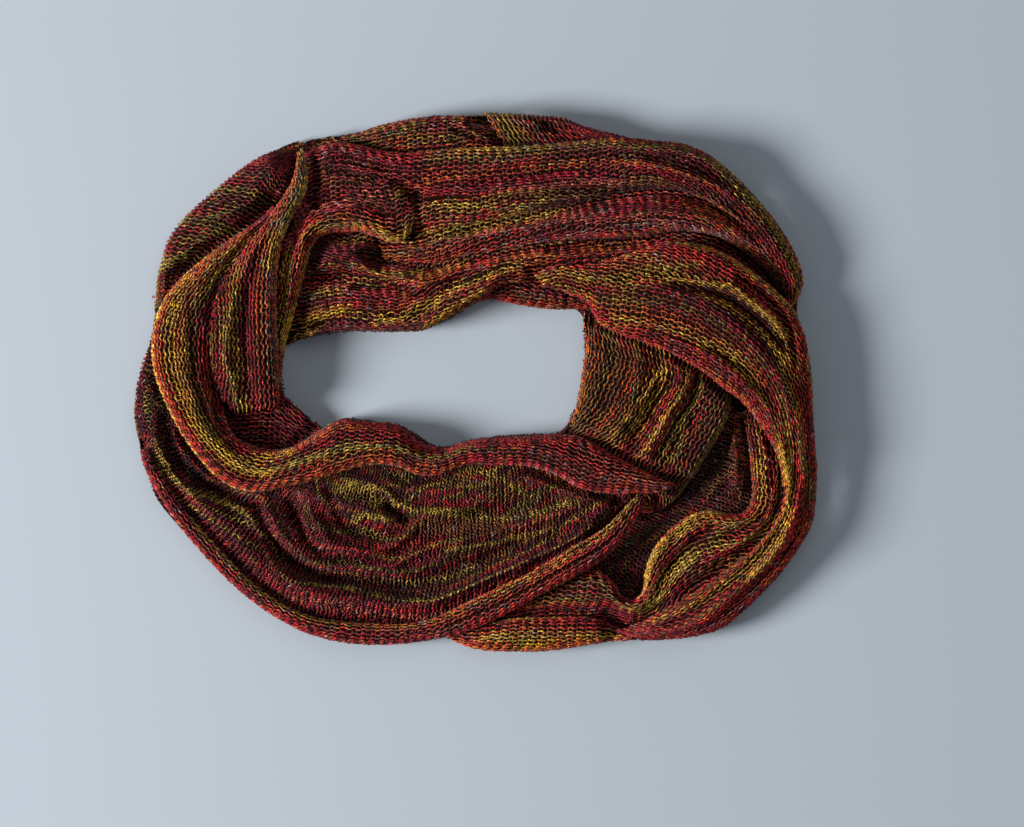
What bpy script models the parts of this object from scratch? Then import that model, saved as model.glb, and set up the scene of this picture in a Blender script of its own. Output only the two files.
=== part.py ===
"""Infinity scarf: a knitted loop of cloth, wound twice and laid down flat as a coiled ring.

The scarf is one closed tube of stockinette, about 1.6 m round and 0.34 m wide. Here it lies on a
surface in two turns, gathered into soft folds. Each stretch of cloth that shows is one thin wall:
a strip whose two long edges roll over and under. The stretches are made from the top one down,
and each lower one is pressed down wherever a higher one lies on it. Under them all lie the
hidden layers, one rounded ring with a flat underside and layered edges.

Tables are in millimetres, in the plan of the ring: +X to the right, +Y to the far side, with
the origin in the middle of the ring. Heights are above the surface that the scarf lies on.
"""
import math

import bpy
import numpy as np
from mathutils import Vector
from mathutils.bvhtree import BVHTree

MM = 0.001

# Driving sizes, in metres.
WALL = 0.0016            # one layer of knitted cloth, with its loops
SEAM_GAP = 0.0005        # clear space between a stretch and the one that lies on it
ROLL_REACH = 0.0075      # how far an edge roll reaches inward from the edge
UNDER_TURN = 0.0030      # how far a rolled edge turns down past its widest place
LOWEST_CLOTH = 0.0034    # lowest place of any outer face over the floor
LOWEST_ROLL = 0.0080     # an edge roll stops this high, over the layered edge under it
PRESS_FLAT = 0.0055      # cloth stays fully pressed this near to the stretch above
RING_PRESS_FLAT = 0.0110 # the hidden layers, with their wider steps, stay pressed this near to it
PRESS_REACH = 0.0180     # and rises freely this far from it
PRESS_SLOPE = 1.1        # rise of pressed cloth for each metre away from what presses it
PRESS_RINGS = 8          # places tested round a point for what presses it: rings, and on each one
PRESS_DIRECTIONS = 12
RIM_INSET = 0.0030       # hidden layers stop this far inside the edges of the ring
LAYER_HEIGHT = 0.0050    # one folded layer in the edges of the hidden layers
EDGE_LAYERS = 2
LAYER_GROOVE = 0.0024    # depth of the groove between two of these layers

FULL_TURN = math.radians(135)
LEAST_TURN = 0.12        # share of the full turn on an edge that hardly drops
FULL_TURN_DROP = 0.006   # an edge that drops this much is rolled all the way
WIDEST_ROLL = 0.38       # share of a narrow strip's width that one edge roll takes at most
FLAT_EDGE_DROP = 0.0015  # an edge that never drops more than this lies flat under its neighbour
ROLL_STEPS = 2
FLAT_TIP = 1.25          # how much farther an edge reaches when its roll is opened out flat
OPENING_STEP = 0.3       # an edge roll opens no faster than this from one section to the next
SETTLE_STEP = 0.0004     # each lowering of a face that still touches the stretch above
SETTLE_ROUNDS = 30
SPLINE_POINTS = 16       # points worked out between two sections of a table
FOLD_FADE = 0.18         # share of a fold's length in which it rises at its start and end

COLLECTION = "infinity_scarf"

# Section columns: outer or first edge x, y; inner or second edge x, y; height at the first
# edge, height at the second edge, drop of the first edge, drop of the second edge.

LEFT_PANEL = [
    (-107.5, 138, -103.5, 141, 28, 28, 7, 7),
    (-108, 129, -101, 131, 33, 33, 8, 9),
    (-111, 119, -100, 121, 35, 36, 9, 11),
    (-117, 109, -101.5, 112, 36, 38, 8, 13),
    (-124, 99, -107, 102, 36, 40, 6, 14),
    (-131, 89, -112, 92, 36, 40, 4, 14),
    (-142, 75, -116, 79, 36, 40, 3, 13),
    (-151, 60, -118, 63, 36, 39, 3, 11),
    (-157, 45, -118.5, 46, 36, 38, 3, 9),
    (-159, 25, -118, 25, 36, 37, 3, 8),
    (-158, 7, -117.5, 7, 35, 36, 3, 9),
    (-155, -6, -117, -7, 33, 34, 3, 8),
    (-150, -14, -117, -12, 31, 31, 3, 6),
    (-146, -18.5, -117.5, -16, 26, 26, 2, 4),
    (-144, -20.5, -118, -17.5, 21, 21, 1, 2),
]

LONG_SWEEP = [
    (-122, 106, -112, 109, 25, 23, 6, 0),
    (-131, 97, -118, 101, 28, 26, 7, 0),
    (-143, 88.5, -126, 91, 31, 28, 8, 0),
    (-157, 79, -136, 79, 32, 31, 10, 0),
    (-172, 67, -146, 65, 32, 33, 12, 0),
    (-186, 52, -151, 51, 32, 34, 15, 0),
    (-193, 36, -153, 36, 32, 34, 17, 0),
    (-195, 20, -153, 20, 32, 34, 17, 0),
    (-193, 5, -152, 6, 33, 34, 16, 0),
    (-188, -9, -151, -7, 34, 34, 16, 2),
    (-182, -22, -150, -20, 35, 34, 18, 4),
    (-173, -37, -144, -31.5, 36, 34, 20, 8),
    (-161, -52, -134, -37.5, 36, 34, 20, 12),
    (-147, -63, -123, -40, 35, 34, 18, 13),
    (-131, -66, -112, -39, 34, 34, 15, 14),
    (-114, -63, -102, -34, 34, 33, 13, 15),
    (-97, -59.5, -92, -27.5, 33, 32, 12, 16),
    (-80, -54, -80, -21.5, 33, 31, 12, 17),
    (-62, -50, -63, -23.5, 33, 30, 12, 17),
    (-47, -51, -48, -25, 32, 29, 11, 16),
    (-35, -56, -34, -35, 31, 29, 10, 16),
    (-22, -56, -20, -39, 31, 29, 9, 16),
    (-6, -50.5, -6, -35, 31, 30, 9, 16),
    (12, -50, 12, -33, 32, 30, 9, 16),
    (32, -51, 32, -32, 33, 31, 9, 15),
    (48, -56, 50, -31, 34, 32, 9, 10),
    (62, -64, 66, -33.5, 35, 34, 8, 7),
    (78, -67, 82, -43, 35, 35, 8, 7),
    (94, -67, 97, -51, 35, 35, 7, 7),
    (108, -66.5, 110, -57.5, 34, 34, 6, 6),
    (119, -63.5, 119.5, -60.5, 31, 31, 3, 3),
]

CURLED_RIB = [
    (-123, -2, -116.5, 0, 25, 23, 1, 6),
    (-122.5, 12, -115.5, 14, 28, 26, 2, 12),
    (-122, 26, -112.5, 28, 30, 29, 2, 14),
    (-121, 44, -108, 44, 32, 31, 2, 12),
    (-119, 60, -104, 58, 32, 32, 3, 12),
    (-115, 76, -100.5, 72, 32, 33, 4, 13),
    (-110, 88, -97, 82, 33, 34, 4, 14),
    (-103, 98, -90, 88, 34, 36, 4, 16),
    (-92, 106, -80, 89.5, 35, 37, 3, 17),
    (-79, 112, -70, 90, 36, 38, 3, 17),
    (-66, 118, -61, 87, 36, 38, 3, 16),
    (-54, 121, -52, 83.5, 36, 37, 3, 14),
    (-46, 118, -44, 84, 34, 34, 3, 8),
    (-41.5, 114, -39.5, 87.5, 30, 30, 2, 4),
]

RIGHT_BAND = [
    (34, 65, 40, 57, 20, 20, 1, 2),
    (48, 69, 54, 53, 28, 27, 4, 6),
    (64, 71, 67, 47, 31, 28, 4, 7),
    (80, 74, 73, 36, 34, 29, 5, 7),
    (96, 79, 86, 28.5, 36, 31, 7, 7),
    (112, 83.5, 103, 22.5, 38, 33, 10, 7),
    (130, 83.5, 119, 16, 39, 34, 13, 8),
    (148, 78, 134, 7.5, 39, 35, 14, 9),
    (164, 68, 147, -3, 38, 36, 14, 12),
    (178, 57, 159, -12, 35, 37, 12, 13),
    (190, 45, 168, -23, 32, 37, 11, 13),
    (197.5, 30, 176, -35, 29, 37, 13, 12),
    (202, 6, 181, -47, 27, 35, 14, 9),
    (203, -12, 183.5, -57, 27, 33, 14, 7),
    (204, -32, 184, -67, 27, 32, 14, 5),
    (205.5, -50, 182, -77, 26, 31, 13, 4),
    (205, -68, 177, -87, 26, 30, 13, 4),
    (203, -84, 169, -97, 26, 29, 13, 4),
    (196, -98, 158, -106, 26, 29, 13, 4),
    (187, -111, 146, -115, 25, 28, 12, 4),
    (176, -124, 133, -124, 24, 27, 12, 4),
    (163, -136.5, 120, -132, 23, 25, 11, 3),
    (148, -148.5, 108, -139, 21, 22, 9, 3),
    (130, -153.5, 98, -144, 21, 21, 8, 2),
    (112, -155, 90, -147, 21, 20, 6, 2),
    (100, -155.5, 82, -149.5, 20, 19, 3, 1),
]

TOP_OUTER_BAND = [
    (-109, 138, -109, 104, 20, 18, 3, 0),
    (-97, 142, -95, 106, 27, 24, 5, 0),
    (-80, 144, -78, 108, 30, 28, 6, 0),
    (-64, 141, -62, 108, 31, 30, 6, 0),
    (-50, 138, -50, 100, 32, 31, 6, 0),
    (-35, 138, -37, 88, 33, 31, 7, 3),
    (-15, 140, -18, 91, 34, 32, 7, 4),
    (5, 141, 2, 95, 35, 33, 7, 5),
    (25, 141.5, 24, 99.5, 35, 34, 7, 6),
    (45, 143, 45, 103.5, 35, 34, 8, 8),
    (65, 145, 65, 108, 35, 34, 8, 10),
    (85, 147, 86, 113, 34, 34, 9, 11),
    (105, 145.5, 104, 115.5, 32, 34, 15, 12),
    (125, 143.5, 120, 115, 30, 34, 17, 12),
    (142, 136, 133, 111, 28, 33, 17, 10),
    (157, 123.5, 146, 104, 28, 32, 17, 7),
    (170, 110, 160, 94, 27, 31, 16, 4),
    (180, 98, 170, 84, 26, 30, 15, 3),
    (188, 86, 177, 74, 24, 28, 14, 2),
    (194.5, 73, 183, 64, 22, 26, 12, 2),
    (197.5, 61, 186, 55, 20, 22, 10, 2),
    (195, 51.5, 183, 45, 17, 17, 7, 1),
    (189.5, 43.5, 178, 37, 13, 13, 3, 0),
]

TOP_MIDDLE_BAND = [
    (-58, 88, -58, 74, 20, 18, 0, 3),
    (-43, 89, -43, 72.5, 24, 24, 0, 4),
    (-28, 93, -28, 71, 28, 28, 0, 5),
    (-12, 98, -12, 74, 29, 30, 0, 5),
    (4, 102, 4, 77, 29, 31, 0, 5),
    (22, 106, 22, 80, 29, 32, 0, 6),
    (42, 110, 42, 83.5, 29, 32, 0, 7),
    (64, 115, 64, 84.5, 29, 33, 0, 9),
    (86, 119, 86, 85.5, 28, 34, 0, 12),
    (106, 121, 106, 88, 28, 34, 0, 15),
    (124, 120, 124, 90.5, 28, 34, 0, 16),
    (142, 116, 140, 88.5, 27, 33, 0, 16),
    (158, 105, 154, 82.5, 27, 32, 0, 15),
    (172, 92, 167, 73.5, 25, 30, 0, 14),
    (183, 78, 178, 62, 22, 27, 0, 12),
    (189, 64, 186, 51, 18, 22, 0, 9),
]

TOP_INNER_BAND = [
    (-111, 88, -113, 20, 13, 19, 0, 5),
    (-101, 92, -103, 25, 13, 23, 0, 8),
    (-88, 94, -89, 28.5, 14, 26, 0, 15),
    (-74, 94, -75, 30, 15, 27, 0, 15),
    (-60, 92, -60, 30, 18, 28, 0, 16),
    (-45, 86, -46, 30, 22, 29, 0, 17),
    (-32, 80, -33, 30.5, 25, 30, 0, 17),
    (-20, 81, -22, 35, 26, 30, 0, 17),
    (-8, 83, -9, 42, 26, 30, 0, 16),
    (4, 84.5, 4, 49.5, 26, 30, 0, 14),
    (18, 86, 17, 58, 26, 30, 0, 8),
    (32, 88.5, 31, 66, 26, 29, 0, 2),
    (48, 90, 48, 66, 26, 27, 0, 0),
    (66, 91, 66, 66, 25, 24, 0, 0),
    (84, 92, 84, 68, 23, 23, 0, 0),
    (102, 93, 102, 73, 20, 20, 0, 0),
    (120, 94, 121, 77, 17, 17, 0, 0),
    (140, 92, 140, 75, 15, 15, 0, 0),
    (157, 84, 155, 68, 13, 13, 0, 0),
    (173, 72, 168, 58, 12, 12, 0, 0),
    (187, 54, 180, 46, 11, 11, 0, 0),
]

INNER_TOP_TUCK = [
    (-6, 56, -2, 47, 17, 16, 0, 6),
    (8, 62, 8, 49.5, 19, 18, 0, 8),
    (22, 66, 22, 47, 20, 19, 0, 10),
    (36, 64, 36, 44.5, 21, 20, 0, 11),
    (50, 62, 50, 43.5, 21, 20, 0, 11),
    (62, 60, 60, 43.5, 20, 19, 0, 10),
    (73, 56, 68, 44, 18, 18, 0, 6),
]

LEFT_SHOULDER = [
    (-196, 44, -168, 46, 22, 18, 11, 0),
    (-194, 57, -163, 62, 24, 20, 13, 0),
    (-190, 71, -150, 73, 26, 20, 15, 0),
    (-185.5, 86, -139, 82, 27, 20, 16, 0),
    (-175, 100, -127, 92, 28, 20, 17, 0),
    (-162, 112, -116, 101, 28, 20, 17, 0),
    (-149, 123, -109, 113, 28, 20, 17, 0),
    (-136, 133, -106, 124, 28, 20, 16, 0),
    (-122, 140.5, -102, 134, 25, 19, 13, 0),
    (-107, 144.5, -98, 141, 21, 17, 9, 0),
]

TOP_RIM_FOLD = [
    (-102, 144.5, -101, 136, 16, 15, 2, 0),
    (-91, 147.5, -90, 137, 20, 18, 8, 0),
    (-78, 149.5, -77, 137, 22, 20, 11, 0),
    (-64, 153, -63, 134, 24, 21, 13, 0),
    (-48, 157, -48, 131, 25, 22, 14, 0),
    (-30, 160, -31, 131, 26, 22, 15, 0),
    (-12, 161.5, -12, 133, 26, 22, 15, 0),
    (5, 161.8, 6, 134, 25, 20, 14, 0),
    (21, 160.5, 24, 136, 22, 18, 11, 0),
    (36, 158, 38, 137, 17, 16, 6, 0),
]

TURNED_FOLD = [
    (4, 162.3, 20, 137, 27, 20, 10, 0),
    (14, 162.3, 31, 136, 28, 20, 14, 0),
    (27, 161.8, 44, 136, 28, 20, 16, 0),
    (40, 161, 58, 137, 27, 20, 16, 0),
    (53, 159.5, 71, 139, 26, 20, 15, 0),
    (65, 154.5, 83, 140, 24, 19, 13, 0),
    (79, 151, 95, 140, 22, 18, 12, 0),
    (96, 147, 106, 139, 18, 16, 9, 0),
]

ROLLED_RIM = [
    (-202.5, -41, -199, -40, 17, 17, 2, 1),
    (-198.5, -54, -192.5, -50, 18, 18, 4, 2),
    (-192.5, -66, -185.5, -61, 19, 19, 6, 2),
    (-181.5, -83, -174.5, -76.5, 19, 19, 7, 3),
    (-168.5, -99, -161.5, -91.5, 20, 20, 8, 3),
    (-153.5, -115.5, -147.5, -106.5, 20, 21, 9, 4),
    (-138, -129.5, -133, -121, 20, 21, 9, 4),
    (-121, -141.5, -117, -132, 21, 21, 10, 5),
    (-103, -151, -100, -140, 21, 22, 10, 5),
    (-83, -156.5, -82, -143, 22, 22, 11, 6),
    (-62, -158.5, -62, -144.5, 22, 22, 11, 6),
    (-41, -157.5, -42, -144.5, 22, 23, 11, 6),
    (-22, -154.5, -24, -141, 23, 24, 10, 6),
    (-4, -149.5, -8, -133, 25, 26, 8, 6),
    (14, -142, 10, -124.5, 27, 28, 7, 6),
    (32, -132, 28, -116, 29, 30, 7, 6),
    (48, -123.5, 45, -106.5, 30, 31, 8, 6),
    (63, -115.5, 60, -97, 31, 31, 10, 6),
    (77, -106.5, 73, -90, 30, 30, 12, 6),
    (88, -95.5, 83, -81.5, 29, 28, 11, 5),
    (97, -82, 91, -73, 27, 26, 8, 4),
    (103.5, -70, 98, -65, 25, 24, 4, 2),
]

RIGHT_INNER_PANEL = [
    (66, 47, 156, 6, 18, 20, 8, 4),
    (64.5, 36, 155, -5, 20, 24, 11, 9),
    (65, 23, 153.5, -15, 22, 27, 13, 12),
    (64.5, 11, 150.5, -25, 23, 28, 14, 13),
    (63, 0, 145.5, -34, 24, 29, 15, 14),
    (61, -10, 140, -43, 24, 30, 15, 15),
    (57.5, -19, 134.5, -52, 24, 30, 15, 15),
    (53, -28, 128.5, -61, 23, 29, 14, 14),
    (49, -37, 121.5, -70, 20, 28, 6, 13),
    (52, -47, 113, -77.5, 18, 27, 3, 12),
    (59, -56, 103, -83.5, 17, 25, 2, 11),
    (68, -64, 92, -89, 16, 22, 1, 9),
]

BOTTOM_LIP = [
    (95, -155.5, 93, -150.5, 17, 17, 1, 0),
    (85, -156.5, 83.5, -146.5, 19, 19, 5, 2),
    (74, -157.5, 73, -142, 20, 21, 8, 4),
    (60, -160, 60, -140.5, 21, 22, 10, 5),
    (44, -162, 45, -141, 21, 22, 10, 5),
    (26, -162.5, 29, -141, 21, 22, 10, 4),
    (8, -162, 12, -143, 20, 21, 9, 4),
    (-7, -159.5, -2, -147, 18, 18, 7, 3),
    (-19, -154, -15, -147, 15, 15, 3, 1),
]

POCKET_FOLD = [
    (186, -20, 160, -14, 20, 18, 0, 3),
    (189, -38, 163, -34, 24, 23, 0, 6),
    (190, -56, 165, -54, 25, 25, 0, 9),
    (190, -76, 165.5, -69, 25, 27, 0, 12),
    (184, -95, 161, -77.5, 24, 29, 0, 14),
    (172, -108, 150, -78.5, 24, 31, 0, 15),
    (159, -119, 138, -77, 23, 32, 0, 15),
    (145, -129, 126, -81, 22, 32, 0, 13),
    (131, -138, 114, -90.5, 20, 32, 0, 13),
    (119, -143, 105.5, -102, 18, 31, 0, 15),
    (108, -145, 101.5, -114, 15, 30, 0, 17),
    (100, -146, 100, -125, 14, 28, 0, 16),
    (93, -146, 93.5, -130.5, 14, 26, 0, 15),
    (86, -145, 87, -126, 14, 26, 0, 15),
    (77, -143.5, 80.5, -117, 14, 26, 0, 14),
    (65, -145, 71, -110.5, 13, 24, 0, 11),
    (51, -145, 58, -111, 13, 20, 0, 5),
    (36, -146, 44, -114, 13, 17, 0, 0),
    (19, -149, 28, -122, 12, 15, 0, 0),
    (3, -151, 12, -132, 12, 13, 0, 0),
]

RECESS = [
    (148, 6, 168, -4, 14, 14, 0, 0),
    (144, -10, 172, -20, 13, 16, 0, 0),
    (142, -25, 174, -36, 12, 17, 0, 0),
    (136, -40, 175, -52, 12, 16, 0, 0),
    (128, -54, 174, -68, 11, 13, 0, 0),
    (119, -66, 168, -82, 11, 11, 0, 0),
    (109, -75, 150, -90, 10, 11, 0, 0),
    (97, -81, 134, -96, 10, 11, 0, 0),
    (86, -87, 120, -106, 9, 9, 0, 0),
    (77, -94, 112, -118, 8, 7, 0, 0),
    (72, -102, 106, -130, 7, 6, 0, 0),
    (70, -112, 98, -137, 7, 5, 0, 0),
]

KNIT_FACE = [
    (-197, 24, -186, 23, 12, 11, 2, 0),
    (-202, 10, -184, 9, 16, 12, 5, 0),
    (-205.3, -8, -180, -4, 18, 12, 7, 0),
    (-205.8, -25, -173, -17, 19, 12, 7.5, 0),
    (-202.5, -42, -165, -30, 18, 12, 6, 0),
    (-195, -56, -154, -43, 16, 12, 3, 0),
    (-186, -69, -142, -53, 15, 12, 0, 0),
    (-173, -84, -129, -56, 14, 13, 0, 0),
    (-159, -99, -115, -54, 14, 14, 0, 0),
    (-144, -114, -101, -51, 14, 15, 0, 0),
    (-129, -127, -87, -47, 14, 16, 0, 0),
    (-111, -138, -74, -43, 14, 17, 0, 0),
    (-92, -146, -61, -41, 14, 18, 0, 0),
    (-72, -149, -47, -42, 14, 18, 0, 0),
    (-50, -150, -33, -46, 14, 18, 0, 0),
    (-29, -148, -19, -47, 14, 18, 0, 0),
    (-8, -141, -4, -43, 15, 18, 0, 0),
    (12, -133, 12, -42, 16, 18, 0, 0),
    (31, -124, 28, -43, 17, 18, 0, 0),
    (49, -114, 44, -46, 17, 18, 0, 0),
    (64, -105, 58, -51, 17, 18, 0, 0),
    (77, -95, 71, -57, 16, 17, 0, 0),
    (87, -84, 82, -60, 14, 15, 0, 0),
]

LEFT_TUCK = [
    (-152, -6, -158, -20, 12, 12, 0, 0),
    (-141, -5, -147, -30, 14, 14, 0, 0),
    (-131, -4, -137, -38, 15, 15, 0, 0),
    (-121, -3, -125, -43, 15, 15, 1, 0),
    (-113.5, -9, -114, -44, 17, 15, 5, 0),
    (-105, -15.5, -104, -42, 17, 15, 8, 0),
    (-97, -22, -95, -38, 16, 14, 7, 0),
    (-90.5, -28, -88, -34, 13, 12, 4, 0),
]

# Fold columns: place across the strip at the start, middle and end of the fold (0 at the first
# edge, 1 at the second), start and end along the strip (0 to 1), rise, half width in mm.

PANEL_FOLDS = [
    (0.30, 0.26, 0.22, 0.30, 0.95, 2.2, 6),
    (0.52, 0.50, 0.46, 0.28, 0.97, -1.8, 5),
    (0.72, 0.72, 0.70, 0.30, 0.97, 2.0, 6),
    (0.88, 0.88, 0.86, 0.10, 0.80, 2.5, 5),
]
SWEEP_FOLDS = [
    (0.40, 0.45, 0.45, 0.06, 0.50, 3.0, 8),
    (0.72, 0.75, 0.78, 0.10, 0.45, -2.0, 6),
    (0.55, 0.50, 0.50, 0.46, 0.78, 2.6, 6),
    (0.28, 0.30, 0.30, 0.40, 0.72, -2.0, 5),
    (0.60, 0.52, 0.45, 0.76, 0.99, 2.2, 6),
]
CURL_FOLDS = [
    (0.45, 0.35, 0.30, 0.50, 0.98, 2.2, 6),
    (0.75, 0.62, 0.55, 0.55, 0.99, -2.4, 5),
    (0.80, 0.85, 0.80, 0.60, 0.95, 2.0, 5),
]
RIGHT_FOLDS = [
    (0.25, 0.16, 0.18, 0.02, 0.34, 3.0, 8),
    (0.30, 0.33, 0.40, 0.10, 0.40, -3.2, 7),
    (0.35, 0.52, 0.60, 0.08, 0.52, 3.0, 9),
    (0.15, 0.14, 0.30, 0.30, 0.46, -5.0, 7),
    (0.70, 0.72, 0.78, 0.12, 0.46, -2.6, 7),
    (0.84, 0.86, 0.84, 0.14, 0.44, 2.4, 7),
    (0.50, 0.45, 0.40, 0.45, 0.95, 2.6, 8),
    (0.25, 0.22, 0.22, 0.52, 0.98, -2.2, 7),
    (0.70, 0.68, 0.60, 0.56, 0.95, -2.4, 7),
]
OUTER_FOLDS = [
    (0.30, 0.32, 0.30, 0.05, 0.30, -2.6, 7),
    (0.62, 0.50, 0.45, 0.04, 0.34, 2.4, 7),
    (0.22, 0.20, 0.25, 0.30, 0.75, 2.2, 7),
    (0.42, 0.40, 0.45, 0.28, 0.80, -2.0, 6),
    (0.62, 0.60, 0.60, 0.26, 0.70, 2.4, 7),
    (0.80, 0.80, 0.75, 0.24, 0.50, -2.4, 6),
    (0.55, 0.60, 0.60, 0.70, 0.98, 2.2, 6),
]
MIDDLE_FOLDS = [
    (0.55, 0.50, 0.50, 0.15, 0.80, 2.4, 7),
    (0.78, 0.75, 0.70, 0.20, 0.70, -2.0, 5),
]
INNER_FOLDS = [
    (0.28, 0.30, 0.36, 0.02, 0.34, 11.0, 13),
    (0.47, 0.50, 0.52, 0.02, 0.36, -4.0, 8),
    (0.66, 0.68, 0.62, 0.02, 0.50, 4.0, 10),
    (0.86, 0.84, 0.78, 0.02, 0.30, -5.0, 8),
    (0.93, 0.90, 0.80, 0.10, 0.52, 2.5, 8),
    (0.30, 0.40, 0.45, 0.30, 0.62, 3.5, 9),
]
SHOULDER_FOLDS = [
    (0.45, 0.45, 0.45, 0.05, 0.98, 1.8, 14),
]
RIM_FOLDS = [
    (0.35, 0.40, 0.45, 0.20, 0.98, 1.8, 7),
]
TURNED_FOLDS = [
    (0.35, 0.35, 0.35, 0.30, 0.55, -2.4, 12),
]
ROLL_FOLDS = [
    (0.50, 0.45, 0.42, 0.45, 0.98, -2.0, 5),
]
FACE_FOLDS = [
    (0.30, 0.36, 0.20, 0.14, 0.42, 6.0, 12),
    (0.20, 0.18, 0.16, 0.38, 0.92, 6.0, 11),
    (0.48, 0.38, 0.30, 0.26, 0.48, -5.0, 10),
    (0.30, 0.29, 0.36, 0.42, 0.92, -4.5, 10),
    (0.55, 0.46, 0.42, 0.32, 0.62, 5.0, 11),
    (0.42, 0.46, 0.52, 0.56, 0.92, 4.5, 10),
    (0.74, 0.64, 0.58, 0.34, 0.58, -4.5, 10),
    (0.74, 0.70, 0.64, 0.40, 0.60, 6.0, 10),
    (0.60, 0.62, 0.68, 0.56, 0.92, -4.5, 9),
    (0.86, 0.82, 0.78, 0.48, 0.96, 5.0, 10),
]
FAN_FOLDS = [
    (0.20, 0.18, 0.15, 0.10, 0.90, -2.0, 8),
    (0.36, 0.36, 0.34, 0.06, 0.92, 3.0, 8),
    (0.50, 0.50, 0.48, 0.06, 0.92, -3.0, 6),
    (0.63, 0.63, 0.62, 0.04, 0.90, 3.4, 7),
    (0.76, 0.76, 0.76, 0.04, 0.80, -3.0, 6),
]
LIP_FOLDS = [
    (0.45, 0.45, 0.45, 0.10, 0.90, 2.0, 7),
]
POCKET_FOLDS = [
    (0.60, 0.62, 0.66, 0.20, 0.56, -3.0, 8),
    (0.40, 0.42, 0.46, 0.18, 0.56, 3.0, 9),
    (0.30, 0.45, 0.50, 0.02, 0.20, -3.0, 6),
    (0.50, 0.50, 0.40, 0.56, 0.86, 3.0, 8),
]
RECESS_FOLDS = [
    (0.42, 0.50, 0.66, 0.04, 0.44, 9.0, 8),
    (0.75, 0.80, 0.85, 0.06, 0.30, -3.0, 6),
]
TUCK_FOLDS = [
    (0.55, 0.50, 0.45, 0.10, 0.95, 2.0, 6),
]

# Stretch columns: node name, sections, folds, bulge between the edges in mm, steps along,
# steps across between the rolls, colour. The first stretch lies on top of all the others.
STRETCHES = [
    ("left_panel", LEFT_PANEL, PANEL_FOLDS, 1.5, 18, 6, (0.36, 0.10, 0.03)),
    ("long_sweep", LONG_SWEEP, SWEEP_FOLDS, 3.0, 36, 3, (0.38, 0.10, 0.03)),
    ("curled_rib", CURLED_RIB, CURL_FOLDS, 2.0, 20, 3, (0.33, 0.07, 0.03)),
    ("right_band", RIGHT_BAND, RIGHT_FOLDS, 2.5, 32, 6, (0.36, 0.08, 0.03)),
    ("top_outer_band", TOP_OUTER_BAND, OUTER_FOLDS, 2.0, 26, 5, (0.34, 0.06, 0.03)),
    ("top_middle_band", TOP_MIDDLE_BAND, MIDDLE_FOLDS, 2.0, 20, 3, (0.32, 0.07, 0.03)),
    ("top_inner_band", TOP_INNER_BAND, INNER_FOLDS, 1.0, 24, 7, (0.30, 0.06, 0.03)),
    ("inner_top_tuck", INNER_TOP_TUCK, [], 1.0, 7, 2, (0.22, 0.05, 0.03)),
    ("left_shoulder", LEFT_SHOULDER, SHOULDER_FOLDS, 2.0, 10, 3, (0.22, 0.05, 0.03)),
    ("turned_fold", TURNED_FOLD, TURNED_FOLDS, 1.5, 8, 2, (0.26, 0.07, 0.03)),
    ("top_rim_fold", TOP_RIM_FOLD, RIM_FOLDS, 1.5, 10, 2, (0.25, 0.10, 0.03)),
    ("rolled_rim", ROLLED_RIM, ROLL_FOLDS, 1.5, 28, 2, (0.36, 0.09, 0.03)),
    ("right_inner_panel", RIGHT_INNER_PANEL, FAN_FOLDS, 3.0, 13, 7, (0.32, 0.12, 0.03)),
    ("bottom_lip", BOTTOM_LIP, LIP_FOLDS, 1.5, 11, 2, (0.38, 0.13, 0.03)),
    ("pocket_fold", POCKET_FOLD, POCKET_FOLDS, 2.0, 26, 4, (0.34, 0.12, 0.03)),
    ("recess", RECESS, RECESS_FOLDS, 0.0, 12, 4, (0.14, 0.04, 0.02)),
    ("knit_face", KNIT_FACE, FACE_FOLDS, 2.0, 30, 11, (0.20, 0.05, 0.03)),
    ("left_tuck", LEFT_TUCK, TUCK_FOLDS, 0.5, 8, 2, (0.16, 0.03, 0.02)),
]

# Hidden layers, all round the ring: outer edge x, y and the edge of the central hole x, y.
RING = [
    (-204, -10, -115, -5), (-201, 12, -117, 5), (-195, 34, -116, 15), (-194, 52, -113, 21),
    (-189, 76, -106, 25), (-176, 100, -98, 27), (-158, 115, -88, 29), (-137, 133, -76, 30),
    (-113, 143, -64, 30), (-87, 149, -50, 30), (-58, 155, -38, 30), (-28, 160, -26, 33),
    (2, 162, -12, 40), (32, 160, 2, 48), (60, 157, 16, 48.5), (88, 149, 32, 45),
    (114, 145, 46, 43), (139, 138, 57, 43), (160, 120, 63, 38), (179, 99, 64.5, 28),
    (192, 76, 65, 16), (196, 58, 64, 6), (195, 38, 63, -2), (200, 10, 61, -10),
    (203, -20, 58, -18), (205, -50, 53, -27), (204, -76, 44, -32), (193, -102, 30, -32),
    (174, -127, 14, -33), (148, -148, -2, -34.5), (116, -155, -16, -38.5), (84, -156, -28, -38),
    (50, -161, -38, -31), (14, -162.5, -48, -25), (-14, -155, -58, -24), (-44, -157.5, -68, -22),
    (-76, -156.5, -78, -21), (-106, -149, -86, -24), (-134, -131, -93, -27),
    (-160, -106, -100, -21), (-182, -80, -107, -15), (-197, -55, -112, -10),
    (-204, -30, -114.5, -8),
]
RING_STEPS = 80
RING_ACROSS = 8
RING_FILL = 0.010        # height of the hidden layers where nothing lies on them
LOWEST_RING = 0.0010     # least height of the hidden layers over the floor
RING_COLOUR = (0.18, 0.04, 0.03)


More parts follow.
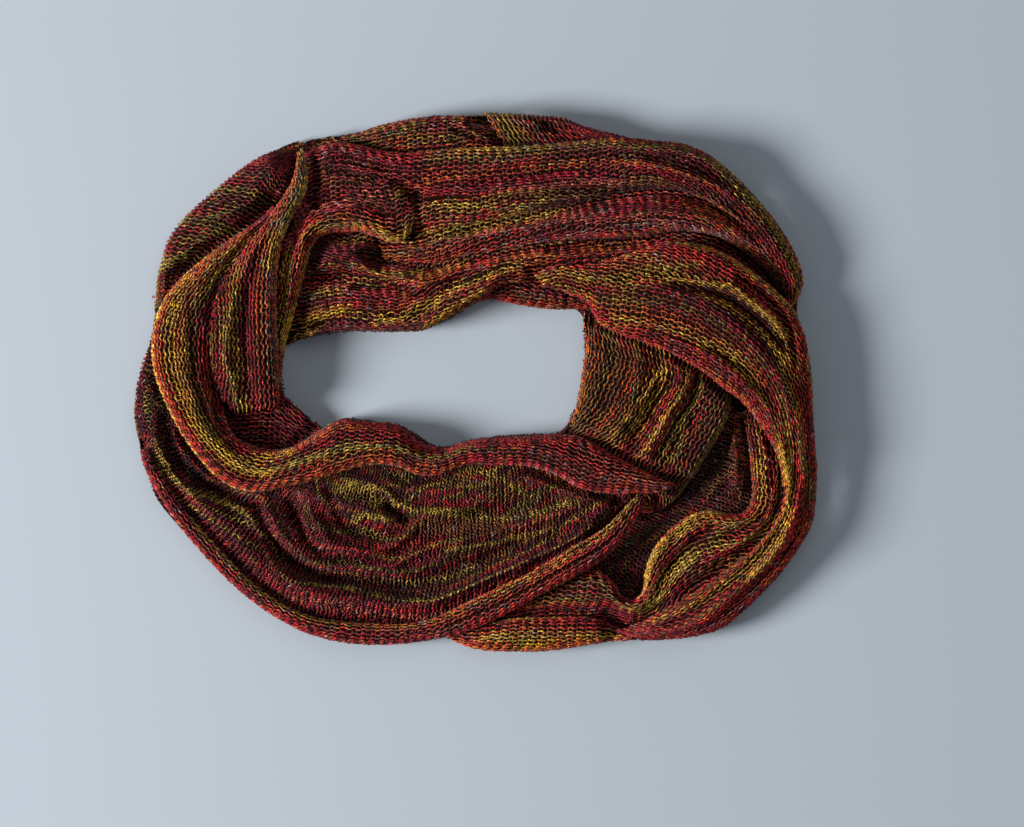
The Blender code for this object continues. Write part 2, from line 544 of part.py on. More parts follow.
def spline_rows(rows, steps, closed=False):
    """Catmull-Rom rows through a table, spaced evenly along the middle of the strip."""
    table = np.array(rows, dtype=float)
    count = len(table)
    spans = count if closed else count - 1
    dense = []
    for span in range(spans):
        if closed:
            picks = [(span + k) % count for k in (-1, 0, 1, 2)]
        else:
            picks = [min(max(span + k, 0), count - 1) for k in (-1, 0, 1, 2)]
        before, start, end, after = table[picks]
        for t in np.linspace(0.0, 1.0, SPLINE_POINTS, endpoint=False):
            dense.append(0.5 * (2 * start + (end - before) * t
                                + (2 * before - 5 * start + 4 * end - after) * t ** 2
                                + (3 * start - before - 3 * end + after) * t ** 3))
    dense.append(table[0] if closed else table[-1])
    dense = np.array(dense)
    middle = (dense[:, 0:2] + dense[:, 2:4]) / 2
    travel = np.concatenate([[0.0], np.cumsum(np.linalg.norm(np.diff(middle, axis=0), axis=1))])
    stops = np.linspace(0.0, travel[-1], steps + 1)
    if closed:
        stops = stops[:-1]
    return np.array([[np.interp(stop, travel, column) for column in dense.T] for stop in stops])


def fold_height(folds, along, across, width):
    """Height that the folds add at one place of a strip, in mm."""
    height = 0.0
    for first, middle, last, start, end, rise, half_width in folds:
        if not start <= along <= end:
            continue
        t = (along - start) / (end - start)
        place = first * (1 - t) * (1 - 2 * t) + middle * 4 * t * (1 - t) + last * t * (2 * t - 1)
        offset = abs(across - place) * width / half_width
        if offset < 1.0:
            fade = min(1.0, t / FOLD_FADE, (1.0 - t) / FOLD_FADE)
            height += rise * math.cos(offset * math.pi / 2) ** 2 * math.sin(fade * math.pi / 2)
    return height


def edge_roll(drop, reach, steps):
    """One edge roll, from the strip outward: (distance in from the edge, fall, angle)."""
    turn = FULL_TURN * min(1.0, max(LEAST_TURN, drop * MM / FULL_TURN_DROP))
    quarter = math.pi / 2
    widest = math.sin(min(turn, quarter))
    fall_scale = 1.0 - math.cos(min(turn, quarter))
    points = []
    for step in range(1, steps + 1):
        angle = turn * step / steps
        inward = reach * (1.0 - math.sin(angle) / widest)
        fall = drop * (1.0 - math.cos(min(angle, quarter))) / fall_scale
        if angle > quarter:
            fall += UNDER_TURN / MM * math.sin(angle - quarter)
        points.append((inward, fall, angle))
    return points


def roll_steps(drops):
    """Steps in an edge roll: one on an edge that lies flat all along."""
    return ROLL_STEPS if max(drops) * MM > FLAT_EDGE_DROP else 1


def strip_points(rows, folds, bulge, middle_steps):
    """One strip in mm: points of its outer face before its edges roll, their fall in the rolls,
    the way in to its inner face, and the columns at which the two rolls start."""
    outer = []
    falls = []
    inward = []
    first_steps = roll_steps(rows[:, 6])
    second_steps = roll_steps(rows[:, 7])
    for number, row in enumerate(rows):
        along = number / (len(rows) - 1)
        first, second = row[0:2], row[2:4]
        first_height, second_height, first_drop, second_drop = row[4:8]
        width = float(np.linalg.norm(second - first))
        across_way = (second - first) / width
        reach = min(ROLL_REACH / MM, WIDEST_ROLL * width)
        first_roll = edge_roll(first_drop, reach, first_steps)
        second_roll = edge_roll(second_drop, reach, second_steps)
        places = [(distance, fall, -angle) for distance, fall, angle in reversed(first_roll)]
        for step in range(middle_steps + 1):
            places.append((reach + (width - 2 * reach) * step / middle_steps, 0.0, 0.0))
        places += [(width - distance, fall, angle) for distance, fall, angle in second_roll]
        sideways = min(WALL / MM, reach / 2)
        outer_line = []
        inward_line = []
        for distance, fall, angle in places:
            across = distance / width
            height = first_height + (second_height - first_height) * across
            height += bulge * (1.0 - (2 * across - 1.0) ** 2)
            height += fold_height(folds, along, across, width)
            place = first + across_way * distance
            outer_line.append([place[0], place[1], height])
            side = -sideways * math.sin(angle)
            inward_line.append([*(across_way * side), -WALL / MM * math.cos(angle)])
        outer.append(outer_line)
        falls.append([fall for distance, fall, angle in places])
        inward.append(inward_line)
    roll_starts = (first_steps, first_steps + middle_steps)
    return np.array(outer) * MM, np.array(falls) * MM, np.array(inward) * MM, roll_starts


class Pressing:
    """The stretches made so far, and how low they press what lies under a place."""

    def __init__(self):
        self.vertices = []
        self.polygons = []
        self.tree = None

    def add(self, vertices, faces):
        start = len(self.vertices)
        self.vertices += [Vector(vertex) for vertex in vertices]
        self.polygons += [[start + corner for corner in face] for face in faces]
        self.tree = BVHTree.FromPolygons(self.vertices, self.polygons)

    def underside(self, x, y):
        if self.tree is None:
            return math.inf
        hit = self.tree.ray_cast(Vector((x, y, -0.01)), Vector((0, 0, 1)))[0]
        return math.inf if hit is None else hit.z

    def limit(self, x, y, flat):
        """Greatest height allowed at a place."""
        lowest = math.inf
        for ring in range(PRESS_RINGS):
            radius = PRESS_REACH * ring / (PRESS_RINGS - 1)
            rise = PRESS_SLOPE * max(0.0, radius - flat)
            directions = 1 if ring == 0 else PRESS_DIRECTIONS
            for step in range(directions):
                angle = 2 * math.pi * (step + 0.5 * (ring % 2)) / directions
                under = self.underside(x + radius * math.cos(angle), y + radius * math.sin(angle))
                lowest = min(lowest, under - SEAM_GAP + rise)
        return lowest


def cloth_material(name, colour):
    """Plain wool-like finish."""
    material = bpy.data.materials.new(name)
    material.use_nodes = True
    shader = material.node_tree.nodes["Principled BSDF"]
    shader.inputs["Base Color"].default_value = (*colour, 1.0)
    shader.inputs["Roughness"].default_value = 0.9
    shader.inputs["Metallic"].default_value = 0.0
    return material


def add_object(name, vertices, faces, colour, collection):
    mesh = bpy.data.meshes.new(name)
    mesh.from_pydata([tuple(vertex) for vertex in vertices], [], faces)
    mesh.validate()
    mesh.shade_smooth()
    mesh.materials.append(cloth_material(name, colour))
    scarf_piece = bpy.data.objects.new(name, mesh)
    collection.objects.link(scarf_piece)
    return scarf_piece


def roll_openness(line, line_falls, limits, start, roll):
    """How much room one edge roll has: 1 hangs freely, 0 is pressed out flat."""
    deepest = max(line_falls[column] for column in roll)
    room = min([line[start, 2]] + [limits[column] for column in roll]) - LOWEST_ROLL
    return min(1.0, max(0.0, room / deepest)) if deepest > 0 else 1.0


def hang_roll(line, line_falls, line_inward, limits, start, roll, edge_height, scale):
    """Hang one edge roll from the pressed top, opened out flat as far as it has no room."""
    tip = line[roll[-1], 0:2] - line[start, 0:2]
    hung = {column: line[start, 2] + edge_height[column] - edge_height[start]
            - scale * line_falls[column] for column in roll}
    sunk = max(0.0, max(hung[column] - limits[column] for column in roll))
    for number, column in enumerate(roll):
        flat = line[start, 0:2] + tip * (number + 1) / len(roll) * FLAT_TIP
        line[column, 0:2] = flat + (line[column, 0:2] - flat) * scale
        line[column, 2] = hung[column] - sunk
        straight_down = np.array([0.0, 0.0, -WALL])
        line_inward[column] = straight_down + (line_inward[column] - straight_down) * scale


def press_strip(outer, falls, inward, roll_starts, pressing):
    """Lower a strip below what lies on it."""
    first_start, second_start = roll_starts
    columns = outer.shape[1]
    edge_heights = outer[:, :, 2].copy()
    limits = np.array([[pressing.limit(x, y, PRESS_FLAT) for x, y, _ in line] for line in outer])
    middle = slice(first_start, second_start + 1)
    outer[:, middle, 2] = np.minimum(outer[:, middle, 2], limits[:, middle])
    first_roll = list(range(first_start - 1, -1, -1))
    second_roll = list(range(second_start + 1, columns))
    for start, roll in ((first_start, first_roll), (second_start, second_roll)):
        free = [roll_openness(*row, start, roll) for row in zip(outer, falls, limits)]
        for row in range(len(outer)):
            scale = min(other + OPENING_STEP * abs(row - near) for near, other in enumerate(free))
            hang_roll(outer[row], falls[row], inward[row], limits[row], start, roll,
                      edge_heights[row], scale)
    outer[:, :, 2] = np.maximum(outer[:, :, 2], LOWEST_CLOTH)


def settle(vertices, faces, movable, pressing, floor):
    """Lower the corners of any face that still comes within the seam gap of what lies on it."""
    if pressing.tree is None:
        return
    raised = Vector((0, 0, SEAM_GAP))
    for _ in range(SETTLE_ROUNDS):
        tree = BVHTree.FromPolygons([Vector(vertex) + raised for vertex in vertices], faces)
        touching = {corner for face, _ in tree.overlap(pressing.tree) for corner in faces[face]}
        moved = {point for corner in touching for point in movable(corner)}
        if not moved:
            return
        for point in moved:
            vertices[point][2] = max(vertices[point][2] - SETTLE_STEP, floor(point))


def wall_faces(count_along, count_across, outer):
    """Triangles of a closed wall: outer face, inner face with the same edges, and the rim."""
    under = count_along * count_across
    flat = outer.reshape(-1, 3)
    faces = []
    for row in range(count_along - 1):
        for column in range(count_across - 1):
            here = row * count_across + column
            corners = [here, here + count_across, here + count_across + 1, here + 1]
            diagonal = np.linalg.norm(flat[corners[0]] - flat[corners[2]])
            other = np.linalg.norm(flat[corners[1]] - flat[corners[3]])
            turn = 0 if diagonal <= other else 1
            corners = corners[turn:] + corners[:turn]
            for triangle in (corners[0:3], [corners[0], corners[2], corners[3]]):
                faces.append(triangle)
                faces.append([corner + under for corner in reversed(triangle)])
    rim = list(range(count_across))
    rim += [row * count_across + count_across - 1 for row in range(1, count_along)]
    rim += [under - 1 - column for column in range(1, count_across)]
    rim += [row * count_across for row in range(count_along - 2, 0, -1)]
    for here, following in zip(rim, rim[1:] + rim[:1]):
        faces.append([here, following, following + under])
        faces.append([here, following + under, here + under])
    return faces


def build_stretch(stretch, pressing, collection):
    """One visible stretch: a rolled strip with an outer and an inner face, closed to a wall."""
    name, sections, folds, bulge, steps, middle_steps, colour = stretch
    rows = spline_rows(sections, steps)
    outer, falls, inward, roll_starts = strip_points(rows, folds, bulge, middle_steps)
    press_strip(outer, falls, inward, roll_starts, pressing)
    faces = wall_faces(*outer.shape[0:2], outer)
    first_way = outer[1, 0] - outer[0, 0]
    second_way = outer[0, -1] - outer[0, 0]
    if first_way[0] * second_way[1] - first_way[1] * second_way[0] < 0:
        faces = [face[::-1] for face in faces]
    vertices = np.concatenate([outer.reshape(-1, 3), (outer + inward).reshape(-1, 3)])
    count = len(vertices) // 2
    settle(vertices, faces, lambda point: (point % count, point % count + count), pressing,
           lambda point: LOWEST_CLOTH if point < count else LOWEST_CLOTH - WALL)
    pressing.add(vertices, faces)
    return add_object(name, vertices, faces, colour, collection)


def layered_side():
    """Side of the hidden layers, floor to top: (share of the height, inset) of its layers."""
    points = []
    for layer in range(EDGE_LAYERS):
        points.append((layer / EDGE_LAYERS, LAYER_GROOVE))
        points.append(((layer + 0.5) / EDGE_LAYERS, 0.0))
    points.append((1.0, LAYER_GROOVE))
    return points


def ring_profile(outer, inner, pressing):
    """One section of the hidden layers: points and the least height of each."""
    side = layered_side()
    width = float(np.linalg.norm(inner - outer))
    direction = (inner - outer) / width
    points = []
    floors = []

    def add_side(edge, way, rising):
        spots = [edge + way * (RIM_INSET + inset) for share, inset in side]
        top = min(pressing.limit(x, y, RING_PRESS_FLAT) for x, y in spots)
        top = max(min(top, EDGE_LAYERS * LAYER_HEIGHT), LOWEST_RING)
        shares = [share for share, inset in side]
        column = [[x, y, top * share] for (x, y), share in zip(spots, shares)]
        points.extend(column if rising else column[::-1])
        lows = [LOWEST_RING * share for share in shares]
        floors.extend(lows if rising else lows[::-1])

    add_side(outer, direction, rising=True)
    start = RIM_INSET + LAYER_GROOVE
    for step in range(1, RING_ACROSS):
        x, y = outer + direction * (start + (width - 2 * start) * step / RING_ACROSS)
        limit = pressing.limit(x, y, RING_PRESS_FLAT)
        height = limit if math.isfinite(limit) else RING_FILL
        points.append([x, y, max(height, LOWEST_RING)])
        floors.append(LOWEST_RING)
    add_side(inner, -direction, rising=False)
    return points, floors


def build_hidden_layers(pressing, collection):
    """The ring under all stretches: flat below, layered at both edges, pressed from above."""
    vertices = []
    floors = []
    rows = spline_rows(RING, RING_STEPS, closed=True) * MM
    for row in rows:
        points, lows = ring_profile(row[0:2], row[2:4], pressing)
        vertices += points
        floors += lows
    across = len(vertices) // len(rows)
    faces = []
    for row in range(len(rows)):
        here = row * across
        there = (row + 1) % len(rows) * across
        for column in range(across):
            following = (column + 1) % across
            faces.append([here + column, here + following, there + following])
            faces.append([here + column, there + following, there + column])
    settle(vertices, faces, lambda point: (point,), pressing, lambda point: floors[point])
    return add_object("hidden_layers", vertices, faces, RING_COLOUR, collection)


def main():
    for old in list(bpy.data.objects):
        bpy.data.objects.remove(old, do_unlink=True)
    collection = bpy.data.collections.new(COLLECTION)
    bpy.context.scene.collection.children.link(collection)
    pressing = Pressing()
    for stretch in STRETCHES:
        build_stretch(stretch, pressing, collection)
    build_hidden_layers(pressing, collection)


main()
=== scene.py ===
"""Looks of the knitted infinity scarf: every stretch that shows is a thin cloth with its own rows of
knitted loops on it, in real yarn, over the hidden layers of the coil.

The tables give each stretch in millimetres in the plan of the ring, close to its solid. The
stretches are laid from the top one down, and each is pressed down where another lies on it.
"""
import math
import bpy
import numpy as np
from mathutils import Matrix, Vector


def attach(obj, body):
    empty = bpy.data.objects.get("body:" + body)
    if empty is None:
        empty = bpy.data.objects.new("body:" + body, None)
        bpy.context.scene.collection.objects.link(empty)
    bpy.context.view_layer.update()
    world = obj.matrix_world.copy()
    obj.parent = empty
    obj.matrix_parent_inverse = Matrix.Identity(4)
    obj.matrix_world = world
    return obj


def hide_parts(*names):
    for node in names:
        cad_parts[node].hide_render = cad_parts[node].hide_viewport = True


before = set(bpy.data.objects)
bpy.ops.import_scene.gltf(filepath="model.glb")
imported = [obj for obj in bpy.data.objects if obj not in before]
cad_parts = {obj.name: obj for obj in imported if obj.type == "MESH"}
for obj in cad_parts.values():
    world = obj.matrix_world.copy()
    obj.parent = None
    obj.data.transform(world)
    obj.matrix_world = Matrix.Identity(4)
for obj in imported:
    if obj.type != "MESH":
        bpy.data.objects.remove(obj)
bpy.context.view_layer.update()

# Form of the cloth. Sizes are in millimetres.
MM = 0.001
ROLL_REACH = 7.5         # how far an edge roll reaches inward from the edge
WIDEST_ROLL = 0.38       # and at most, as a share of the strip's width
UNDER_TURN = 3.0         # how far a rolled edge turns down past its widest place
FULL_TURN = math.radians(135)
LEAST_TURN = 0.12        # share of the full turn that even a flat edge has
FULL_TURN_DROP = 6.0     # an edge that drops this much is rolled all the way
FLAT_EDGE_DROP = 1.5     # an edge that never drops more than this lies flat
FLAT_TIP = 1.25          # a roll with no room lies flat, this many times as long in plan
OPENING_RATE = 0.033     # how fast an edge roll may open, for each mm along it
ROLL_POINTS = 9
FLAT_POINTS = 2
LOWEST_CLOTH = 3.4       # lowest place of any cloth over the floor
LOWEST_ROLL = 7.0        # an edge roll stops this high
END_REACH = 5.0          # the ends of a stretch turn down over this length
FOLD_FADE = 0.18         # a fold fades out over this share of its length
CREASE_FADE = 0.14       # and a crease over this share
RIPPLES = [(1.0, 55.0, 7.5), (0.6, 21.0, 11.0)]  # depth, length along and across the strip
SPLINE_POINTS = 16
DROP_COLUMNS = (6, 7)    # columns of a section table that give the drops
NOISE_CELLS = 256
TINY = 1e-9

# How the stretches press on each other.
CLOTH_WALL = 1.6
PRESS_GAP = 0.5          # clear space under the cloth that lies on top
PRESS_FLAT = 2.5         # cloth stays fully pressed this near to the stretch above
PRESS_REACH = 18.0       # and rises freely this far from it
PRESS_SLOPE = 1.8
COVER_MARGIN = 5.0       # loops are left out this far in under the stretch above
CELL = 1.5               # plan grid on which the pressing is worked out
MAP_LEFT, MAP_NEAR, MAP_WIDE, MAP_DEEP = -216.0, -174.0, 432.0, 348.0
NO_LIMIT = 1000.0

# Spacing of the worked-out surface.
ALONG_STEP = 1.5
ACROSS_STEP = 1.0
ARC_STEP = 0.6
LEAST_ROWS, LEAST_COLUMNS = 20, 6
USUAL_WIDTH = 80         # the columns suit the strip's width at this percentile
GUIDE_SMOOTH = 9         # sections over which a guide line and the rows are evened out
ARC_SMOOTH = 13

# Knitted loops: width of a stitch, height of a row, lean and rise of the loops either way from
# the middle of the row.
ROW_PITCH = 2.94
PURL_LOOP = (5.8, ROW_PITCH, 0.22, 2.0)
KNIT_LOOP = (4.8, 2.6, 0.26, 1.9)
LOOP_VARIETY = (0.35, 0.16, 0.4)   # how much the loops' lean, rise and depth differ
LOOP_DRIFT = 0.12
LOOP_DEPTH = 0.75        # the thread swings this far in and out of the cloth
ROW_WANDER = (0.55, 30.0, 6.0)     # how far whole rows swing across, length along and across
ROW_SLIP = (0.35, 26.0, 9.0)       # and how far along, in stitches
YARN_RADIUS = 0.50
THICKNESS_CHANGE = (0.12, 2.2)     # share of the radius, and over what length
THREAD_POINTS = 10       # points of the thread in one stitch
RING_THREAD_POINTS = 8
THREAD_SIDES = 3
LOWEST_THREAD = 0.6
SELVEDGE = 2.0           # the first and last rows may reach this far past the edge
EDGE_ROWS = 2            # rows of a chart that lie outside the start of an edge roll
BAKE_MARGIN = 0.04       # share of each stitch's UV tile that stays free at its edges
BACKING_DEPTH = 1.85     # cloth under the loops, below their top
BACKING_WALL = 0.3
BACKING_STEPS = (3, 2)   # the backing takes every third section and every second column
LOWEST_BACKING = (0.6, 0.3)

# Colour along the yarn. Lengths along a row and heights across the rows are in millimetres.
SWAP_DEPTH, SWAP_LENGTH = 0.36, 34.0   # how unevenly the rows change colour, over what length
CHANGE_WIDTH = 0.25      # share of the way between two places over which a row's colour changes
STREAK_FADE = 0.16       # a streak fades out over this share of its length
STREAK_START, STREAK_SWAP, STREAK_SOFT = 0.5, 1.4, 0.8  # strength and unevenness there, soft edge
FLECK_SHARE, FLECK_SOFT, FLECK_LENGTH = -0.22, 0.16, 3.0
MOTTLE_RANGE = (0.3, 0.7)  # the fine noise keeps to this range
ACCENT_WIDTH, ACCENT_MIX, ACCENT_LENGTH = 0.08, 0.75, 3.6
MOTTLE_HEIGHT = ROW_PITCH * 0.9
SHADES = [(0.24, 5.0, ROW_PITCH, 3), (0.16, 40.0, 9.0, 4)]  # depth, length, height, seed step
STITCH_VARIETY = 0.30
PAINTED_SHADE_BEHIND = 0.04      # painted shade: the thread's colour is darkened to this share where it runs behind
FRONT_SHARPNESS = 0.45   # and the painted shade spares more or less of each loop's front
# Painted shade: the backing under the loops is the rows' mean yarn colour darkened to this share.
BACKING_PAINTED_SHADE = 0.03
DARK_PLY = 0.22
PLY_TURNS = 7.0          # turns of the ply in one stitch
PLY_RANGE = (-0.9, 0.2)  # of its wave, from the dark ply to the light one

# Hidden layers.
RIM_INSET = 2.2          # they stop this far inside the edges of the ring
LAYER_HEIGHT = 6.0       # one folded layer in their edges
EDGE_LAYERS = 3
LAYER_GROOVE = 2.4
GROOVE_ROUNDING = 0.7
SIDE_STEPS = 12
SIDE_CLEAR = 1.8
SIDE_SPOTS = (0.0, 2.0, 3.5, 5.0)   # how far in their height at the edge is looked up
LEAST_SIDE, LEAST_TOP = 1.5, 1.2    # least height of their sides and of their top
RING_STEPS = 200
RING_ACROSS = 14
RING_FILL = 10.0         # their height where nothing lies on them
PRESSED_BELOW = 900.0    # a limit over this means that nothing does
RING_COLOUR = (0.18, 0.03, 0.02)
# Painted shade: the hidden layers' cloth is their dark red darkened to this share.
RING_PAINTED_SHADE = 0.3
RING_FLAT = (0.105, 0.95)           # width and length in metres

# Seeds of the random draws.
FIRST_SEED, SEED_STEP, RING_SEED, STRAY_SEED = 100, 10, 701, 41

# Loose loops at the outline: x, y, height, how far they stand out.
STRAY_LOOPS = [
    (-188, -62, 12, 2.2), (-173, -83, 12, 2.6), (-161, -98, 13, 2.0), (-121, -134, 13, 2.0),
    (-96, -149, 12, 2.6), (-60, -154, 12, 2.4), (22, -158, 12, 2.0), (116, -150, 13, 2.0),
    (158, -140, 12, 2.2), (200, -60, 16, 2.0), (201, 0, 18, 2.2), (192, 50, 16, 2.2),
    (102, 144, 18, 1.8), (-26, 157, 16, 1.8), (-140, 127, 14, 2.0), (-193, 51, 14, 1.8),
]
STRAY_RADIUS = 0.3
STRAY_POINTS, STRAY_SIDES = 15, 4
STRAY_TURN = (-215, 35)  # degrees of a circle that a loop takes, turned either way by
STRAY_SWING = 25
STRAY_SIZE, STRAY_SQUASH, STRAY_LEAN = (0.42, 0.55), (0.6, 0.9), 1.5
STRAY_YARNS = "CRMYO"

FLOOR_COLOUR = (0.475, 0.528, 0.575)
FLOOR_REACH = 1.6        # metres, like all places of the room
ROOM_COLOUR = (0.86, 0.91, 1.0)
ROOM_LIGHT = 0.20
LIGHTS = [  # name, place, what it faces, size, power, tint
    ("window", (-2.6, -0.45, 1.70), (0.0, 0.0, 0.0), 1.15, 135.0, (0.99, 0.99, 1.0)),
    ("soft_fill", (0.6, 1.2, 2.8), (0.0, 0.0, 0.0), 2.2, 11.0, (0.96, 0.98, 1.0)),
]
CAMERA_PLACE = (0.0219, -0.0189, 3.0)
CAMERA_LENS = 174.6

# Section columns: first (outer) edge x, y; second (inner) edge x, y; height at the first edge
# and at the second; drop of the first edge and of the second.
LEFT_PANEL = [
    (-107.5, 138, -103.5, 141, 22, 22, 3, 3), (-108, 129, -101, 131, 29, 29, 7, 8),
    (-111, 119, -100, 121, 33, 34, 9, 11), (-117, 109, -101.5, 112, 36, 38, 8, 13),
    (-124, 99, -107, 102, 36, 40, 6, 14), (-131, 89, -112, 92, 36, 40, 4, 14),
    (-142, 75, -116, 79, 36, 40, 3, 13), (-151, 60, -118, 63, 36, 39, 3, 11),
    (-157, 45, -118.5, 46, 36, 38, 3, 9), (-159, 25, -118, 25, 36, 37, 3, 8),
    (-158, 7, -117.5, 7, 35, 36, 3, 9), (-155, -6, -117, -7, 33, 34, 3, 8),
    (-150, -14, -117, -12, 31, 31, 3, 6), (-146, -18.5, -117.5, -16, 26, 26, 2, 4),
    (-144, -20.5, -118, -17.5, 21, 21, 1, 2),
]
LONG_SWEEP = [
    (-122, 106, -112, 109, 25, 23, 6, 0), (-131, 97, -118, 101, 28, 26, 7, 0),
    (-143, 88.5, -126, 91, 31, 28, 8, 0), (-157, 79, -136, 79, 32, 31, 10, 0),
    (-172, 67, -146, 65, 32, 33, 12, 0), (-186, 52, -151, 51, 32, 34, 15, 0),
    (-193, 36, -153, 36, 32, 34, 17, 0), (-195, 20, -153, 20, 32, 34, 17, 0),
    (-193, 5, -152, 6, 33, 34, 16, 0), (-188, -9, -151, -7, 34, 34, 16, 2),
    (-182, -22, -150, -20, 35, 34, 18, 4), (-173, -37, -144, -31.5, 36, 34, 20, 8),
    (-161, -52, -134, -37.5, 36, 34, 20, 12), (-147, -63, -123, -40, 35, 34, 18, 13),
    (-131, -66, -112, -39, 34, 34, 15, 14), (-114, -63, -102, -34, 34, 33, 13, 22),
    (-97, -59.5, -92, -27.5, 33, 32, 14, 23), (-80, -54, -80, -21.5, 33, 31, 15, 23),
    (-62, -50, -63, -23.5, 33, 30, 14, 22), (-47, -51, -48, -25, 32, 29, 11, 20),
    (-35, -56, -34, -35, 31, 29, 10, 20), (-22, -56, -20, -39, 31, 29, 9, 20),
    (-6, -50.5, -6, -35, 31, 30, 9, 20), (12, -50, 12, -33, 32, 30, 9, 20),
    (32, -51, 32, -32, 33, 31, 11, 20), (48, -56, 50, -31, 34, 32, 13, 18),
    (62, -64, 66, -33.5, 35, 34, 10, 7), (78, -67, 82, -43, 35, 35, 8, 7),
    (94, -67, 97, -51, 35, 35, 7, 7), (108, -66.5, 110, -57.5, 34, 34, 6, 6),
    (119, -63.5, 119.5, -60.5, 31, 31, 3, 3),
]
CURLED_RIB = [
    (-123, -2, -116.5, 0, 25, 23, 1, 6), (-122.5, 12, -115.5, 14, 28, 26, 2, 12),
    (-122, 26, -112.5, 28, 30, 29, 2, 14), (-121, 44, -108, 44, 32, 31, 2, 12),
    (-119, 60, -104, 58, 32, 32, 3, 12), (-115, 76, -100.5, 72, 32, 33, 4, 13),
    (-110, 88, -97, 82, 33, 34, 4, 14), (-103, 98, -90, 88, 34, 36, 4, 16),
    (-92, 106, -80, 89.5, 35, 37, 3, 17), (-79, 112, -70, 90, 36, 38, 3, 17),
    (-66, 118, -61, 87, 36, 38, 3, 16), (-54, 121, -52, 83.5, 36, 37, 3, 14),
    (-46, 118, -44, 84, 35, 34, 3, 7), (-41.5, 114, -39.5, 87.5, 33.5, 32.5, 2, 4),
    (-37, 110, -35.5, 91, 32.5, 31, 1, 2),
]
RIGHT_BAND = [
    (34, 65, 40, 57, 30, 29, 1, 2), (48, 69, 54, 53, 31, 29, 4, 6), (64, 71, 67, 47, 31, 28, 4, 7),
    (80, 74, 73, 36, 34, 29, 5, 7), (96, 79, 86, 28.5, 36, 31, 7, 7),
    (112, 83.5, 103, 22.5, 38, 33, 10, 7), (130, 83.5, 119, 16, 39, 34, 13, 8),
    (148, 78, 134, 7.5, 39, 35, 14, 9), (164, 68, 147, -3, 38, 36, 14, 12),
    (178, 57, 159, -12, 35, 37, 12, 13), (190, 45, 168, -23, 32, 37, 11, 13),
    (197.5, 30, 176, -35, 29, 37, 13, 12), (202, 6, 181, -47, 27, 35, 14, 9),
    (203, -12, 183.5, -57, 27, 33, 14, 7), (204, -32, 184, -67, 27, 32, 14, 5),
    (205.5, -50, 182, -77, 26, 31, 13, 4), (205, -68, 177, -87, 26, 30, 13, 4),
    (203, -84, 169, -97, 26, 29, 13, 4), (196, -98, 158, -106, 26, 29, 13, 4),
    (187, -111, 146, -115, 25, 28, 12, 4), (176, -124, 133, -124, 24, 27, 12, 4),
    (163, -136.5, 120, -132, 23, 25, 11, 3), (148, -148.5, 108, -139, 21, 22, 9, 3),
    (130, -153.5, 98, -144, 21, 21, 8, 2), (112, -155, 90, -147, 21, 20, 6, 2),
    (100, -155.5, 82, -149.5, 20, 19, 3, 1),
]
TOP_OUTER_BAND = [
    (-109, 138, -109, 104, 25, 22, 11, 0), (-97, 142, -95, 106, 29, 27, 13, 0),
    (-80, 144, -78, 108, 30, 28, 11, 0), (-64, 141, -62, 108, 31, 30, 8, 0),
    (-50, 138, -50, 100, 32, 31, 6, 0), (-35, 138, -37, 88, 33, 31, 7, 3),
    (-15, 140, -18, 91, 34, 32, 7, 4), (5, 141, 2, 95, 35, 33, 7, 5), (25, 141.5, 24, 99.5, 35, 34, 7, 6),
    (45, 143, 45, 103.5, 35, 34, 8, 8), (65, 145, 65, 108, 35, 34, 8, 10),
    (85, 147, 86, 113, 34, 34, 9, 11), (105, 145.5, 104, 115.5, 32, 34, 15, 12),
    (125, 143.5, 120, 115, 30, 34, 17, 12), (142, 136, 133, 111, 28, 33, 17, 10),
    (157, 123.5, 146, 104, 28, 32, 17, 7), (170, 110, 160, 94, 27, 31, 16, 4),
    (180, 98, 170, 84, 26, 30, 15, 3), (188, 86, 177, 74, 24, 28, 14, 2),
    (194.5, 73, 183, 64, 22, 26, 12, 2), (197.5, 61, 186, 55, 20, 22, 10, 2),
    (195, 51.5, 183, 45, 17, 17, 7, 1), (189.5, 43.5, 178, 37, 13, 13, 3, 0),
]
TOP_MIDDLE_BAND = [
    (-58, 88, -58, 74, 20, 18, 0, 3), (-43, 89, -43, 72.5, 24, 24, 0, 4),
    (-28, 93, -28, 71, 28, 28, 0, 5), (-12, 98, -12, 74, 29, 30, 0, 5), (4, 102, 4, 77, 29, 31, 0, 5),
    (22, 106, 22, 80, 29, 32, 0, 6), (42, 110, 42, 83.5, 29, 32, 0, 7), (64, 115, 64, 84.5, 29, 33, 0, 9),
    (86, 119, 86, 85.5, 28, 34, 0, 12), (106, 121, 106, 88, 28, 34, 0, 15),
    (124, 120, 124, 90.5, 28, 34, 0, 16), (142, 116, 140, 88.5, 27, 33, 0, 16),
    (158, 105, 154, 82.5, 27, 32, 0, 15), (172, 92, 167, 73.5, 25, 30, 0, 14),
    (183, 78, 178, 62, 22, 27, 0, 12), (189, 64, 186, 51, 18, 22, 0, 9),
]
